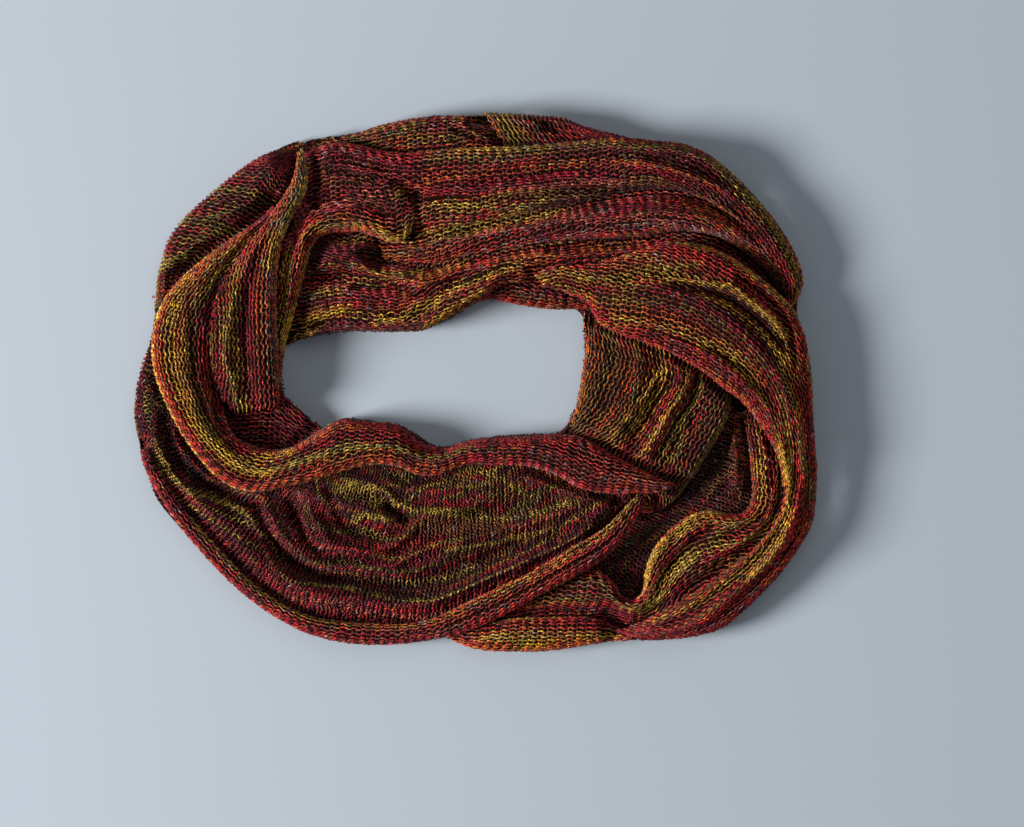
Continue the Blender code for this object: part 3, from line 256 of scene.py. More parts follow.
TOP_INNER_BAND = [
    (-117, 88, -120, 23, 13, 17, 0, 3), (-101, 92, -103, 25, 13, 23, 0, 8),
    (-88, 94, -89, 28.5, 14, 26, 0, 15), (-74, 94, -75, 30, 15, 27, 0, 15),
    (-60, 92, -60, 30, 18, 28, 0, 16), (-45, 86, -46, 30, 22, 29, 0, 17),
    (-32, 80, -33, 30.5, 25, 30, 0, 17), (-20, 81, -22, 35, 26, 30, 0, 17),
    (-8, 83, -9, 42, 26, 30, 0, 16), (4, 84.5, 4, 49.5, 26, 30, 0, 14), (18, 86, 17, 58, 26, 30, 0, 8),
    (32, 88.5, 33, 59.5, 26, 27, 0, 2), (48, 90, 48, 58, 26, 25, 0, 0), (66, 91, 66, 66, 25, 24, 0, 0),
    (84, 92, 84, 68, 23, 23, 0, 0), (102, 93, 102, 73, 20, 20, 0, 0), (120, 94, 121, 77, 17, 17, 0, 0),
    (140, 92, 140, 75, 15, 15, 0, 0), (157, 84, 155, 68, 13, 13, 0, 0), (173, 72, 168, 58, 12, 12, 0, 0),
    (187, 54, 180, 46, 11, 11, 0, 0),
]
INNER_TOP_TUCK = [
    (-6, 56, -2, 47, 17, 16, 0, 6), (8, 62, 8, 49.5, 19, 18, 0, 8), (22, 66, 22, 47, 20, 19, 0, 10),
    (36, 64, 36, 44.5, 21, 20, 0, 11), (50, 62, 50, 43.5, 21, 20, 0, 11),
    (62, 60, 60, 43.5, 20, 19, 0, 10), (73, 56, 68, 44, 18, 18, 0, 6),
]
LEFT_SHOULDER = [
    (-196, 44, -168, 46, 22, 18, 11, 0), (-194, 57, -163, 62, 24, 20, 13, 0),
    (-190, 71, -150, 73, 26, 20, 15, 0), (-185.5, 86, -139, 82, 27, 20, 16, 0),
    (-175, 100, -127, 92, 28, 20, 17, 0), (-162, 112, -116, 101, 28, 20, 17, 0),
    (-149, 123, -109, 113, 28, 20, 17, 0), (-136, 133, -106, 124, 28, 20, 16, 0),
    (-122, 140.5, -102, 134, 25, 19, 13, 0), (-107, 144.5, -98, 141, 21, 17, 9, 0),
]
TOP_RIM_FOLD = [
    (-102, 144.5, -101, 136, 16, 15, 2, 0), (-91, 147.5, -90, 137, 20, 18, 8, 0),
    (-78, 149.5, -77, 137, 22, 20, 11, 0), (-64, 153, -63, 134, 24, 21, 13, 0),
    (-48, 157, -48, 131, 25, 22, 14, 0), (-30, 160, -31, 131, 26, 22, 15, 0),
    (-12, 161.5, -12, 133, 26, 22, 15, 0), (5, 161.8, 6, 134, 25, 20, 14, 0),
    (21, 160.5, 24, 136, 22, 18, 11, 0), (36, 158, 38, 137, 17, 16, 6, 0),
]
TURNED_FOLD = [
    (4, 162.3, 20, 137, 27, 20, 10, 0), (14, 162.3, 31, 136, 28, 20, 14, 0),
    (27, 161.8, 44, 136, 28, 20, 16, 0), (40, 161, 58, 137, 27, 20, 16, 0),
    (53, 159.5, 71, 139, 26, 20, 15, 0), (65, 154.5, 83, 140, 24, 19, 13, 0),
    (79, 151, 95, 140, 22, 18, 12, 0), (96, 147, 106, 139, 18, 16, 9, 0),
]
ROLLED_RIM = [
    (-202.5, -41, -199, -40, 17, 17, 2, 1), (-198.5, -54, -192.5, -50, 18, 18, 8, 2),
    (-192.5, -66, -185.5, -61, 19, 19, 10, 2), (-181.5, -83, -174.5, -76.5, 19, 19, 10.5, 3),
    (-168.5, -99, -161.5, -91.5, 20, 20, 11, 3), (-153.5, -115.5, -147.5, -106.5, 20, 21, 11.5, 4),
    (-138, -129.5, -133, -121, 20, 21, 11.5, 4), (-121, -141.5, -117, -132, 21, 21, 12, 5),
    (-103, -151, -100, -140, 21, 22, 12, 5), (-83, -156.5, -82, -143, 22, 22, 12, 6),
    (-62, -158.5, -62, -144.5, 22, 22, 12, 6), (-41, -157.5, -42, -144.5, 22, 23, 12, 6),
    (-22, -154.5, -24, -141, 23, 24, 11, 6), (-4, -149.5, -8, -133, 25, 26, 8, 6),
    (14, -142, 10, -124.5, 27, 28, 7, 6), (32, -132, 28, -116, 29, 30, 7, 6),
    (48, -123.5, 45, -106.5, 30, 31, 8, 6), (63, -115.5, 60, -97, 31, 31, 10, 6),
    (77, -106.5, 73, -90, 30, 30, 12, 6), (88, -95.5, 83, -81.5, 29, 28, 11, 5),
    (97, -82, 91, -73, 27, 26, 8, 4), (103.5, -70, 98, -65, 25, 24, 4, 2),
]
RIGHT_INNER_PANEL = [
    (66, 47, 156, 6, 18, 20, 8, 4), (64.5, 36, 155, -5, 20, 24, 11, 9),
    (65, 23, 153.5, -15, 22, 27, 13, 12), (64.5, 11, 150.5, -25, 23, 28, 14, 13),
    (63, 0, 145.5, -34, 24, 29, 15, 14), (61, -10, 140, -43, 24, 30, 15, 15),
    (57.5, -19, 134.5, -52, 24, 30, 15, 15), (53, -28, 128.5, -61, 23, 29, 14, 14),
    (49, -37, 121.5, -70, 20, 28, 6, 13), (52, -47, 113, -77.5, 18, 27, 3, 12),
    (59.5, -53, 103, -80, 17, 25, 2, 11),
]
BOTTOM_LIP = [
    (95, -155.5, 93, -150.5, 17, 17, 1, 0), (85, -156.5, 83.5, -146.5, 19, 19, 5, 4),
    (74, -157.5, 73, -142, 20, 21, 8, 8), (60, -160, 60, -140.5, 21, 22, 10, 9),
    (44, -162, 45, -141, 21, 22, 10, 9), (26, -162.5, 29, -141, 21, 22, 10, 8),
    (8, -162, 12, -143, 20, 21, 9, 7), (-7, -159.5, -2, -147, 18, 18, 7, 3),
    (-19, -154, -15, -147, 15, 15, 3, 1),
]
POCKET_FOLD = [
    (186, -20, 160, -14, 20, 18, 0, 3), (189, -38, 163, -34, 24, 23, 0, 6),
    (190, -56, 165, -54, 25, 25, 0, 9), (190, -76, 165.5, -69, 25, 27, 0, 12),
    (184, -95, 161, -77.5, 24, 29, 0, 14), (172, -108, 150, -78.5, 24, 31, 0, 15),
    (159, -119, 138, -77, 23, 32, 0, 15), (145, -129, 126, -81, 22, 32, 0, 13),
    (131, -138, 114, -90.5, 20, 32, 0, 13), (119, -143, 105.5, -102, 18, 31, 0, 15),
    (108, -145, 101.5, -114, 15, 30, 0, 17), (100, -146, 100, -125, 14, 28, 0, 16),
    (93, -146, 93.5, -130.5, 14, 26, 0, 15), (86, -145, 87, -126, 14, 26, 0, 15),
    (77, -143.5, 80.5, -117, 14, 26, 0, 14), (65, -145, 71, -110.5, 13, 24, 0, 11),
    (51, -145, 58, -111, 13, 20, 0, 5), (36, -146, 44, -114, 13, 17, 0, 0),
    (19, -149, 28, -122, 12, 15, 0, 0), (3, -151, 12, -132, 12, 13, 0, 0),
]
RECESS = [
    (148, 6, 168, -4, 14, 14, 0, 0), (144, -10, 172, -20, 13, 16, 0, 0),
    (142, -25, 174, -36, 12, 17, 0, 0), (136, -40, 175, -52, 12, 16, 0, 0),
    (128, -54, 174, -68, 11, 13, 0, 0), (119, -66, 168, -82, 11, 11, 0, 0),
    (109, -75, 150, -90, 10, 11, 0, 0), (97, -81, 134, -96, 10, 11, 0, 0),
    (86, -87, 120, -106, 9, 9, 0, 0), (77, -94, 112, -118, 8, 7, 0, 0), (72, -102, 106, -130, 7, 6, 0, 0),
    (70, -112, 98, -137, 7, 5, 0, 0),
]
KNIT_FACE = [
    (-197, 24, -186, 23, 12, 11, 2, 0), (-202, 10, -184, 9, 16, 12, 5, 0),
    (-205.3, -8, -180, -4, 18, 12, 7, 0), (-205.8, -25, -173, -17, 19, 12, 7.5, 0),
    (-202.5, -42, -165, -30, 18, 12, 6, 0), (-197.9, -56.9, -154, -43, 16, 12, 3, 0),
    (-191.6, -71.1, -142, -53, 15, 12, 0, 0), (-178.5, -87.5, -129, -56, 14, 13, 0, 0),
    (-163.5, -103.6, -115, -54, 14, 14, 0, 0), (-147.7, -119.4, -101, -51, 14, 15, 0, 0),
    (-132, -132.8, -87, -47, 14, 16, 0, 0), (-113.4, -144.1, -74, -43, 14, 17, 0, 0),
    (-93.7, -151.8, -61, -41, 14, 18, 0, 0), (-73.3, -154.4, -47, -42, 14, 18, 0, 0),
    (-50.8, -154.9, -33, -46, 14, 18, 0, 0), (-29.5, -153, -19, -47, 14, 18, 0, 0),
    (-8.2, -145, -4, -43, 15, 18, 0, 0), (12, -135, 12, -42, 16, 18, 0, 0),
    (31, -124, 28, -43, 17, 18, 0, 0), (49, -114, 44, -46, 18, 19, 0, 0),
    (64, -105, 58, -51, 20, 22, 0, 0), (77, -95, 71, -57, 22, 24, 0, 0), (87, -84, 82, -60, 22, 24, 0, 0),
    (95, -77, 91, -59, 22, 23, 0, 0),
]
LEFT_TUCK = [
    (-152, -6, -158, -20, 12, 12, 0, 0), (-141, -5, -147, -30, 14, 14, 0, 0),
    (-131, -4, -137, -38, 15, 15, 0, 0), (-121, -3, -125, -43, 15, 15, 1, 0),
    (-113.5, -9, -114, -44, 17, 15, 5, 0), (-105, -15.5, -104, -42, 17, 15, 8, 0),
    (-97, -22, -95, -38, 16, 14, 7, 0), (-90.5, -28, -88, -34, 13, 12, 4, 0),
]

# Fold columns: place across the strip at the start, middle and end of the fold (0 at the first
# edge, 1 at the second), start and end along the strip (0 to 1), rise, half width.
PANEL_FOLDS = [
    (0.3, 0.26, 0.22, 0.3, 0.95, 2.2, 6), (0.52, 0.5, 0.46, 0.28, 0.97, -1.8, 5),
    (0.72, 0.72, 0.7, 0.3, 0.97, 2.0, 6), (0.88, 0.88, 0.86, 0.1, 0.8, 2.5, 5),
]
SWEEP_FOLDS = [
    (0.4, 0.45, 0.45, 0.06, 0.5, 3.0, 8), (0.72, 0.75, 0.78, 0.1, 0.45, -2.0, 6),
    (0.55, 0.5, 0.5, 0.46, 0.78, 2.6, 6), (0.28, 0.3, 0.3, 0.4, 0.72, -2.0, 5),
    (0.6, 0.52, 0.45, 0.76, 0.99, 2.2, 6),
]
CURL_FOLDS = [
    (0.45, 0.35, 0.3, 0.5, 0.98, 2.2, 6), (0.75, 0.62, 0.55, 0.55, 0.99, -2.4, 5),
    (0.8, 0.85, 0.8, 0.6, 0.95, 2.0, 5),
]
RIGHT_FOLDS = [
    (0.25, 0.16, 0.18, 0.02, 0.34, 3.0, 8), (0.3, 0.33, 0.4, 0.1, 0.4, -3.2, 7),
    (0.35, 0.52, 0.6, 0.08, 0.52, 3.0, 9), (0.15, 0.14, 0.3, 0.3, 0.46, -5.0, 7),
    (0.7, 0.72, 0.78, 0.12, 0.46, -2.6, 7), (0.84, 0.86, 0.84, 0.14, 0.44, 2.4, 7),
    (0.5, 0.45, 0.4, 0.45, 0.95, 2.6, 8), (0.25, 0.22, 0.22, 0.52, 0.98, -2.2, 7),
    (0.7, 0.68, 0.6, 0.56, 0.95, -2.4, 7),
]
OUTER_FOLDS = [
    (0.3, 0.32, 0.3, 0.05, 0.3, -2.6, 7), (0.62, 0.5, 0.45, 0.04, 0.34, 2.4, 7),
    (0.22, 0.2, 0.25, 0.3, 0.75, 2.2, 7), (0.42, 0.4, 0.45, 0.28, 0.8, -2.0, 6),
    (0.62, 0.6, 0.6, 0.26, 0.7, 2.4, 7), (0.8, 0.8, 0.75, 0.24, 0.5, -2.4, 6),
    (0.55, 0.6, 0.6, 0.7, 0.98, 2.2, 6),
]
MIDDLE_FOLDS = [(0.55, 0.5, 0.5, 0.15, 0.8, 2.4, 7), (0.78, 0.75, 0.7, 0.2, 0.7, -2.0, 5)]
INNER_FOLDS = [
    (0.28, 0.3, 0.36, 0.02, 0.34, 11.0, 13), (0.47, 0.5, 0.52, 0.02, 0.36, -4.0, 8),
    (0.66, 0.68, 0.62, 0.02, 0.5, 4.0, 10), (0.86, 0.84, 0.78, 0.02, 0.3, -5.0, 8),
    (0.93, 0.9, 0.8, 0.1, 0.52, 2.5, 8), (0.3, 0.4, 0.45, 0.3, 0.62, 3.5, 9),
]
SHOULDER_FOLDS = [(0.45, 0.45, 0.45, 0.05, 0.98, 1.8, 14)]
RIM_FOLDS = [(0.35, 0.4, 0.45, 0.2, 0.98, 1.8, 7)]
TURNED_FOLDS = [(0.35, 0.35, 0.35, 0.3, 0.55, -2.4, 12)]
ROLL_FOLDS = [(0.5, 0.45, 0.42, 0.45, 0.98, -2.0, 5)]
FACE_FOLDS = [
    (0.3, 0.36, 0.2, 0.14, 0.42, 6.0, 12), (0.2, 0.18, 0.16, 0.38, 0.92, 6.0, 11),
    (0.48, 0.38, 0.3, 0.26, 0.48, -5.0, 10), (0.3, 0.29, 0.36, 0.42, 0.92, -4.5, 10),
    (0.55, 0.46, 0.42, 0.32, 0.62, 5.0, 11), (0.42, 0.46, 0.52, 0.56, 0.92, 4.5, 10),
    (0.74, 0.64, 0.58, 0.34, 0.58, -4.5, 10), (0.74, 0.7, 0.64, 0.4, 0.6, 6.0, 10),
    (0.6, 0.62, 0.68, 0.56, 0.92, -4.5, 9), (0.86, 0.82, 0.78, 0.48, 0.96, 5.0, 10),
]
FAN_FOLDS = [
    (0.2, 0.18, 0.15, 0.1, 0.9, -2.0, 8), (0.36, 0.36, 0.34, 0.06, 0.92, 3.0, 8),
    (0.5, 0.5, 0.48, 0.06, 0.92, -3.0, 6), (0.63, 0.63, 0.62, 0.04, 0.9, 3.4, 7),
    (0.76, 0.76, 0.76, 0.04, 0.8, -3.0, 6),
]
LIP_FOLDS = [(0.45, 0.45, 0.45, 0.1, 0.9, 2.0, 7)]
POCKET_FOLDS = [
    (0.6, 0.62, 0.66, 0.2, 0.56, -3.0, 8), (0.4, 0.42, 0.46, 0.18, 0.56, 3.0, 9),
    (0.3, 0.45, 0.5, 0.02, 0.2, -3.0, 6), (0.5, 0.5, 0.4, 0.56, 0.86, 3.0, 8),
]
RECESS_FOLDS = [(0.42, 0.5, 0.66, 0.04, 0.44, 9.0, 8), (0.75, 0.8, 0.85, 0.06, 0.3, -3.0, 6)]
TUCK_FOLDS = [(0.55, 0.5, 0.45, 0.1, 0.95, 2.0, 6)]

# Hidden layers, all round the ring: outer edge x, y and the edge of the central hole x, y.
RING = [
    (-204, -10, -115, -5), (-201, 12, -117, 5), (-195, 34, -116, 15), (-194, 52, -113, 21),
    (-189, 76, -106, 25), (-176, 100, -98, 27), (-158, 115, -88, 29), (-137, 133, -76, 30),
    (-113, 143, -64, 30), (-87, 149, -50, 30), (-58, 155, -38, 30), (-28, 160, -26, 33),
    (2, 162, -12, 40), (32, 160, 2, 48), (60, 157, 16, 48.5), (88, 149, 32, 45), (114, 145, 46, 43),
    (139, 138, 57, 43), (160, 120, 63, 38), (179, 99, 64.5, 28), (192, 76, 65, 16), (196, 58, 64, 6),
    (195, 38, 63, -2), (200, 10, 61, -10), (203, -20, 58, -18), (205, -50, 53, -27), (204, -76, 44, -32),
    (193, -102, 30, -32), (174, -127, 14, -33), (148, -148, -2, -34.5), (116, -155, -16, -38.5),
    (84, -156, -28, -38), (50, -161, -38, -31), (14, -162.5, -48, -25), (-14, -155, -58, -24),
    (-44, -157.5, -68, -22), (-76, -156.5, -78, -21), (-106, -149, -86, -24), (-134, -131, -93, -27),
    (-160, -106, -100, -21), (-182, -80, -107, -15), (-197, -55, -112, -10), (-204, -30, -114.5, -8),
]

# Yarn colours (linear): letter, base, and the other colour in the same yarn.
YARNS = [
    ("M", (0.220, 0.008, 0.020), (0.400, 0.012, 0.030)),      # maroon
    ("C", (0.560, 0.008, 0.032), (0.150, 0.006, 0.014)),      # crimson
    ("R", (0.780, 0.034, 0.022), (0.240, 0.012, 0.012)),      # red
    ("O", (0.840, 0.170, 0.020), (0.420, 0.028, 0.014)),      # orange
    ("B", (0.310, 0.080, 0.022), (0.460, 0.160, 0.022)),      # brown
    ("L", (0.320, 0.210, 0.028), (0.180, 0.034, 0.016)),      # dark olive
    ("Y", (0.700, 0.450, 0.055), (0.280, 0.150, 0.020)),      # olive yellow
    ("G", (0.960, 0.560, 0.045), (0.640, 0.190, 0.018)),      # golden yellow
    ("W", (0.400, 0.060, 0.060), (0.440, 0.300, 0.250)),      # grey-white flecked red
    ("S", (0.780, 0.150, 0.090), (0.380, 0.022, 0.030)),      # salmon
    ("D", (0.105, 0.010, 0.012), (0.200, 0.014, 0.022)),      # very dark red rows; also painted shade along creases, in the recess and where edges run under other cloth
]
LETTERS = "".join(letter for letter, _, _ in YARNS)
YARN_BASE = np.array([base for _, base, _ in YARNS])
YARN_FLECK = np.array([fleck for _, _, fleck in YARNS])
ACCENTS = [  # place of each odd colour in the yarn's mottle, -1 to 1, and the colour
    (-0.66, (0.012, 0.006, 0.006)), (-0.44, (0.62, 0.30, 0.030)), (0.52, (0.030, 0.010, 0.010)),
    (0.80, (0.46, 0.40, 0.37)),
]

# Rows of each stretch, one letter each, from its reference edge, at places 0 to 1 along it.
# The "D" rows at edges that run under other cloth, and in the recess, are painted shade.
RING_ROWS = [(0.0, "MCLRMC"), (0.5, "CRMOCM"), (1.0, "MCLRMC")]
PANEL_ROWS = [
    (0.0, "YYGWOORRO"), (0.3, "YGYWOORSRCSRGO"), (0.55, "LWOSRCSRGGYRCY"), (0.8, "LWOSRCSRGGYCRCYL"),
    (1.0, "RROSRRYYORC"),
]
SWEEP_ROWS = [
    (0.0, "MRCM"), (0.12, "LORGGBOYYLC"), (0.25, "ORGGBOOYYLCCR"), (0.36, "ORRGGGYYLCOR"),
    (0.46, "ORROGGYLCCRO"), (0.56, "ROORGYLCCROC"), (0.64, "RORLYLCCRCR"), (0.74, "CRCRLCRCRC"),
    (0.88, "RCWRCRCR"), (1.0, "RWRRRR"),
]
CURL_ROWS = [(0.0, "OCYLM"), (0.35, "OCYLGO"), (0.58, "ORYOCR"), (0.72, "GYRORCMSM"), (1.0, "GOWYRCMSM")]
RIGHT_ROWS = [
    (0.0, "ROYO|GCYR"), (0.08, "RROYGO|RCYORC"), (0.2, "RRCOYYOGRDCC|LBCOOYGRRCRC"),
    (0.36, "RRCOYYOGGDDCC|LRCOOYGRRCRCO"), (0.52, "CRROYLRC|OGYRCRCOLRC"), (0.66, "ORLRRRCC|YGGCORLRC"),
    (0.82, "MRRCOLRC|RYGROLRMC"), (1.0, "MCRRC|MCROC"),
]
OUTER_ROWS = [
    (0.0, "CMRCMCRCMRMCRMCR"), (0.16, "RCRCMRCRORCROCRYR"), (0.32, "OYYROORRCRCRGYRR"),
    (0.48, "LOOMMYCRCRWSBLBDD"), (0.66, "YLMCMYRCRSBLBD"), (0.82, "YLYMRCRB"), (1.0, "YOMRC"),
]
MIDDLE_ROWS = [
    (0.0, "RBROB"), (0.14, "YGYLBROR"), (0.26, "OYGYOSRWR"), (0.45, "DBRSRSSWRC"),
    (0.62, "DRSCRRSSCLRCR"), (0.82, "DCRSRCOLR"), (1.0, "CRCL"),
]
INNER_ROWS = [
    (0.0, "MRCMRCCMRRSDW|CRORGGCCGGDD"), (0.22, "DMCRYGBRYRSRW|CRRORGYGRMDD"),
    (0.38, "DDRORYCRO|RCCYGOCRC"), (0.55, "DDRRCYRO|OCGCRRC"), (0.75, "DMRBLRC|ORRC"), (1.0, "DMRC|ORC"),
]
TUCK_TOP_ROWS = [(0.0, "BRMRBRR"), (1.0, "RBRMRBR")]
SHOULDER_ROWS = [
    (0.0, "YOGYORCLRCMLYYLCMRLCMRYYLRCMCLRMYYCMRLMCMCRM"),
    (1.0, "LRYCRLCLRCMLLYLCMCLCMRLYLRCMCLRMLYCMRLMCMCRM"),
]
RIM_ROWS = [(0.0, "LMRLBCM"), (0.35, "RLMBORLRBCM"), (0.65, "LMWRBYMROC"), (1.0, "LRLMCRMC")]
TURNED_ROWS = [(0.0, "YLYYOLYGYOLYCYRCLCRCRCMRCRCMCRCM"), (1.0, "LLYOLLYYLOLRCLRCMCRCMCMRCRMMCRCM")]
ROLLED_ROWS = [(0.0, "YCCR"), (0.3, "YLCRC"), (0.55, "LORCRM"), (0.7, "YRORWCCR"), (1.0, "YROCR")]
FAN_ROWS = [
    (0.0, "LBORLBOLROBLGGRCRG|GRCRYYRCRLLMD"), (0.5, "BLOLBORLBLOBYGGRCRG|GRCRYYRCRLLMD"),
    (1.0, "LBOLBROLBOLRCRRCMR|GRCRYCRCRLLMD"),
]
LIP_ROWS = [(0.0, "CRCOR"), (0.4, "CROGGORO"), (0.7, "CRGGYORO"), (1.0, "CROOR")]
POCKET_ROWS = [
    (0.0, "RCROLCR|GRCLRM"), (0.22, "CRLBCYRCO|GOCRBCLR"), (0.4, "MRBOLRCRYYRCRO|GGRCRBOLC"),
    (0.56, "MRCBRYYORC|GGRYCRM"), (0.7, "MCRCLRC|CLCRM"), (0.84, "CROYLRC|RCMR"), (1.0, "RCMR|ORC"),
]
RECESS_ROWS = [(0.0, "DMCBMDLRDMRBM"), (1.0, "MDCMLDMBDMDCDLMD")]
FACE_ROWS = [
    (0.0, "LRDCM|YRCMDMCM"), (0.2, "MCMRCM|YMCRYMDMCRMDCRM"), (0.36, "MCRMCM|YRCMYDMCMRDCMLRDMCR"),
    (0.5, "SCRMCM|YYLDDMBMDDRCMLLMCMDR"), (0.62, "SCRMCM|YLDDMBMLYDRCMLLMMCMOYRCR"),
    (0.78, "SCRMCM|YMDCRYDMLBMDSLOMLCRMLL"), (1.0, "SCRMCM|YMDCRYDMLBMDSLO"),
]
LEFT_TUCK_ROWS = [(0.0, "MRCMRCMR"), (1.0, "CMCRMCM")]

# Lines that the rows of a stretch run along: x, y of each point.
GUIDES = {
    "knit_face": [
        -200, 5, -196, -20, -192, -45, -187, -65, -170, -76, -160, -83, -150, -89, -140, -94, -130, -99,
        -122, -106, -118, -113, -112, -119, -100, -121, -80, -123, -60, -128, -40, -131, -20, -130,
        -5, -124, 5, -118, 25, -110, 45, -101,
    ],
    "right_band": [
        50, 62, 70, 56, 85, 52.5, 110, 49, 130, 43, 155, 28, 170, 14, 180, -2, 187, -20, 191, -40,
        191, -60, 187, -80, 178, -97, 165, -112, 148, -126, 128, -139, 105, -146,
    ],
    "right_inner_panel": [
        128, 12, 127, 0, 122, -10, 115, -18, 110, -27, 103, -38, 98, -46, 92, -56,
    ],
    "pocket_fold": [
        168, -45, 168, -60, 163, -72, 150, -76, 140, -77, 130, -82, 122, -88, 112, -97, 106, -105,
        103, -112, 101, -122,
    ],
    "top_inner_band": [
        -112, 46, -95, 50, -75, 52, -50, 50, -38, 53, -20, 62, -5, 68, 20, 75, 50, 79, 85, 83,
    ],
}
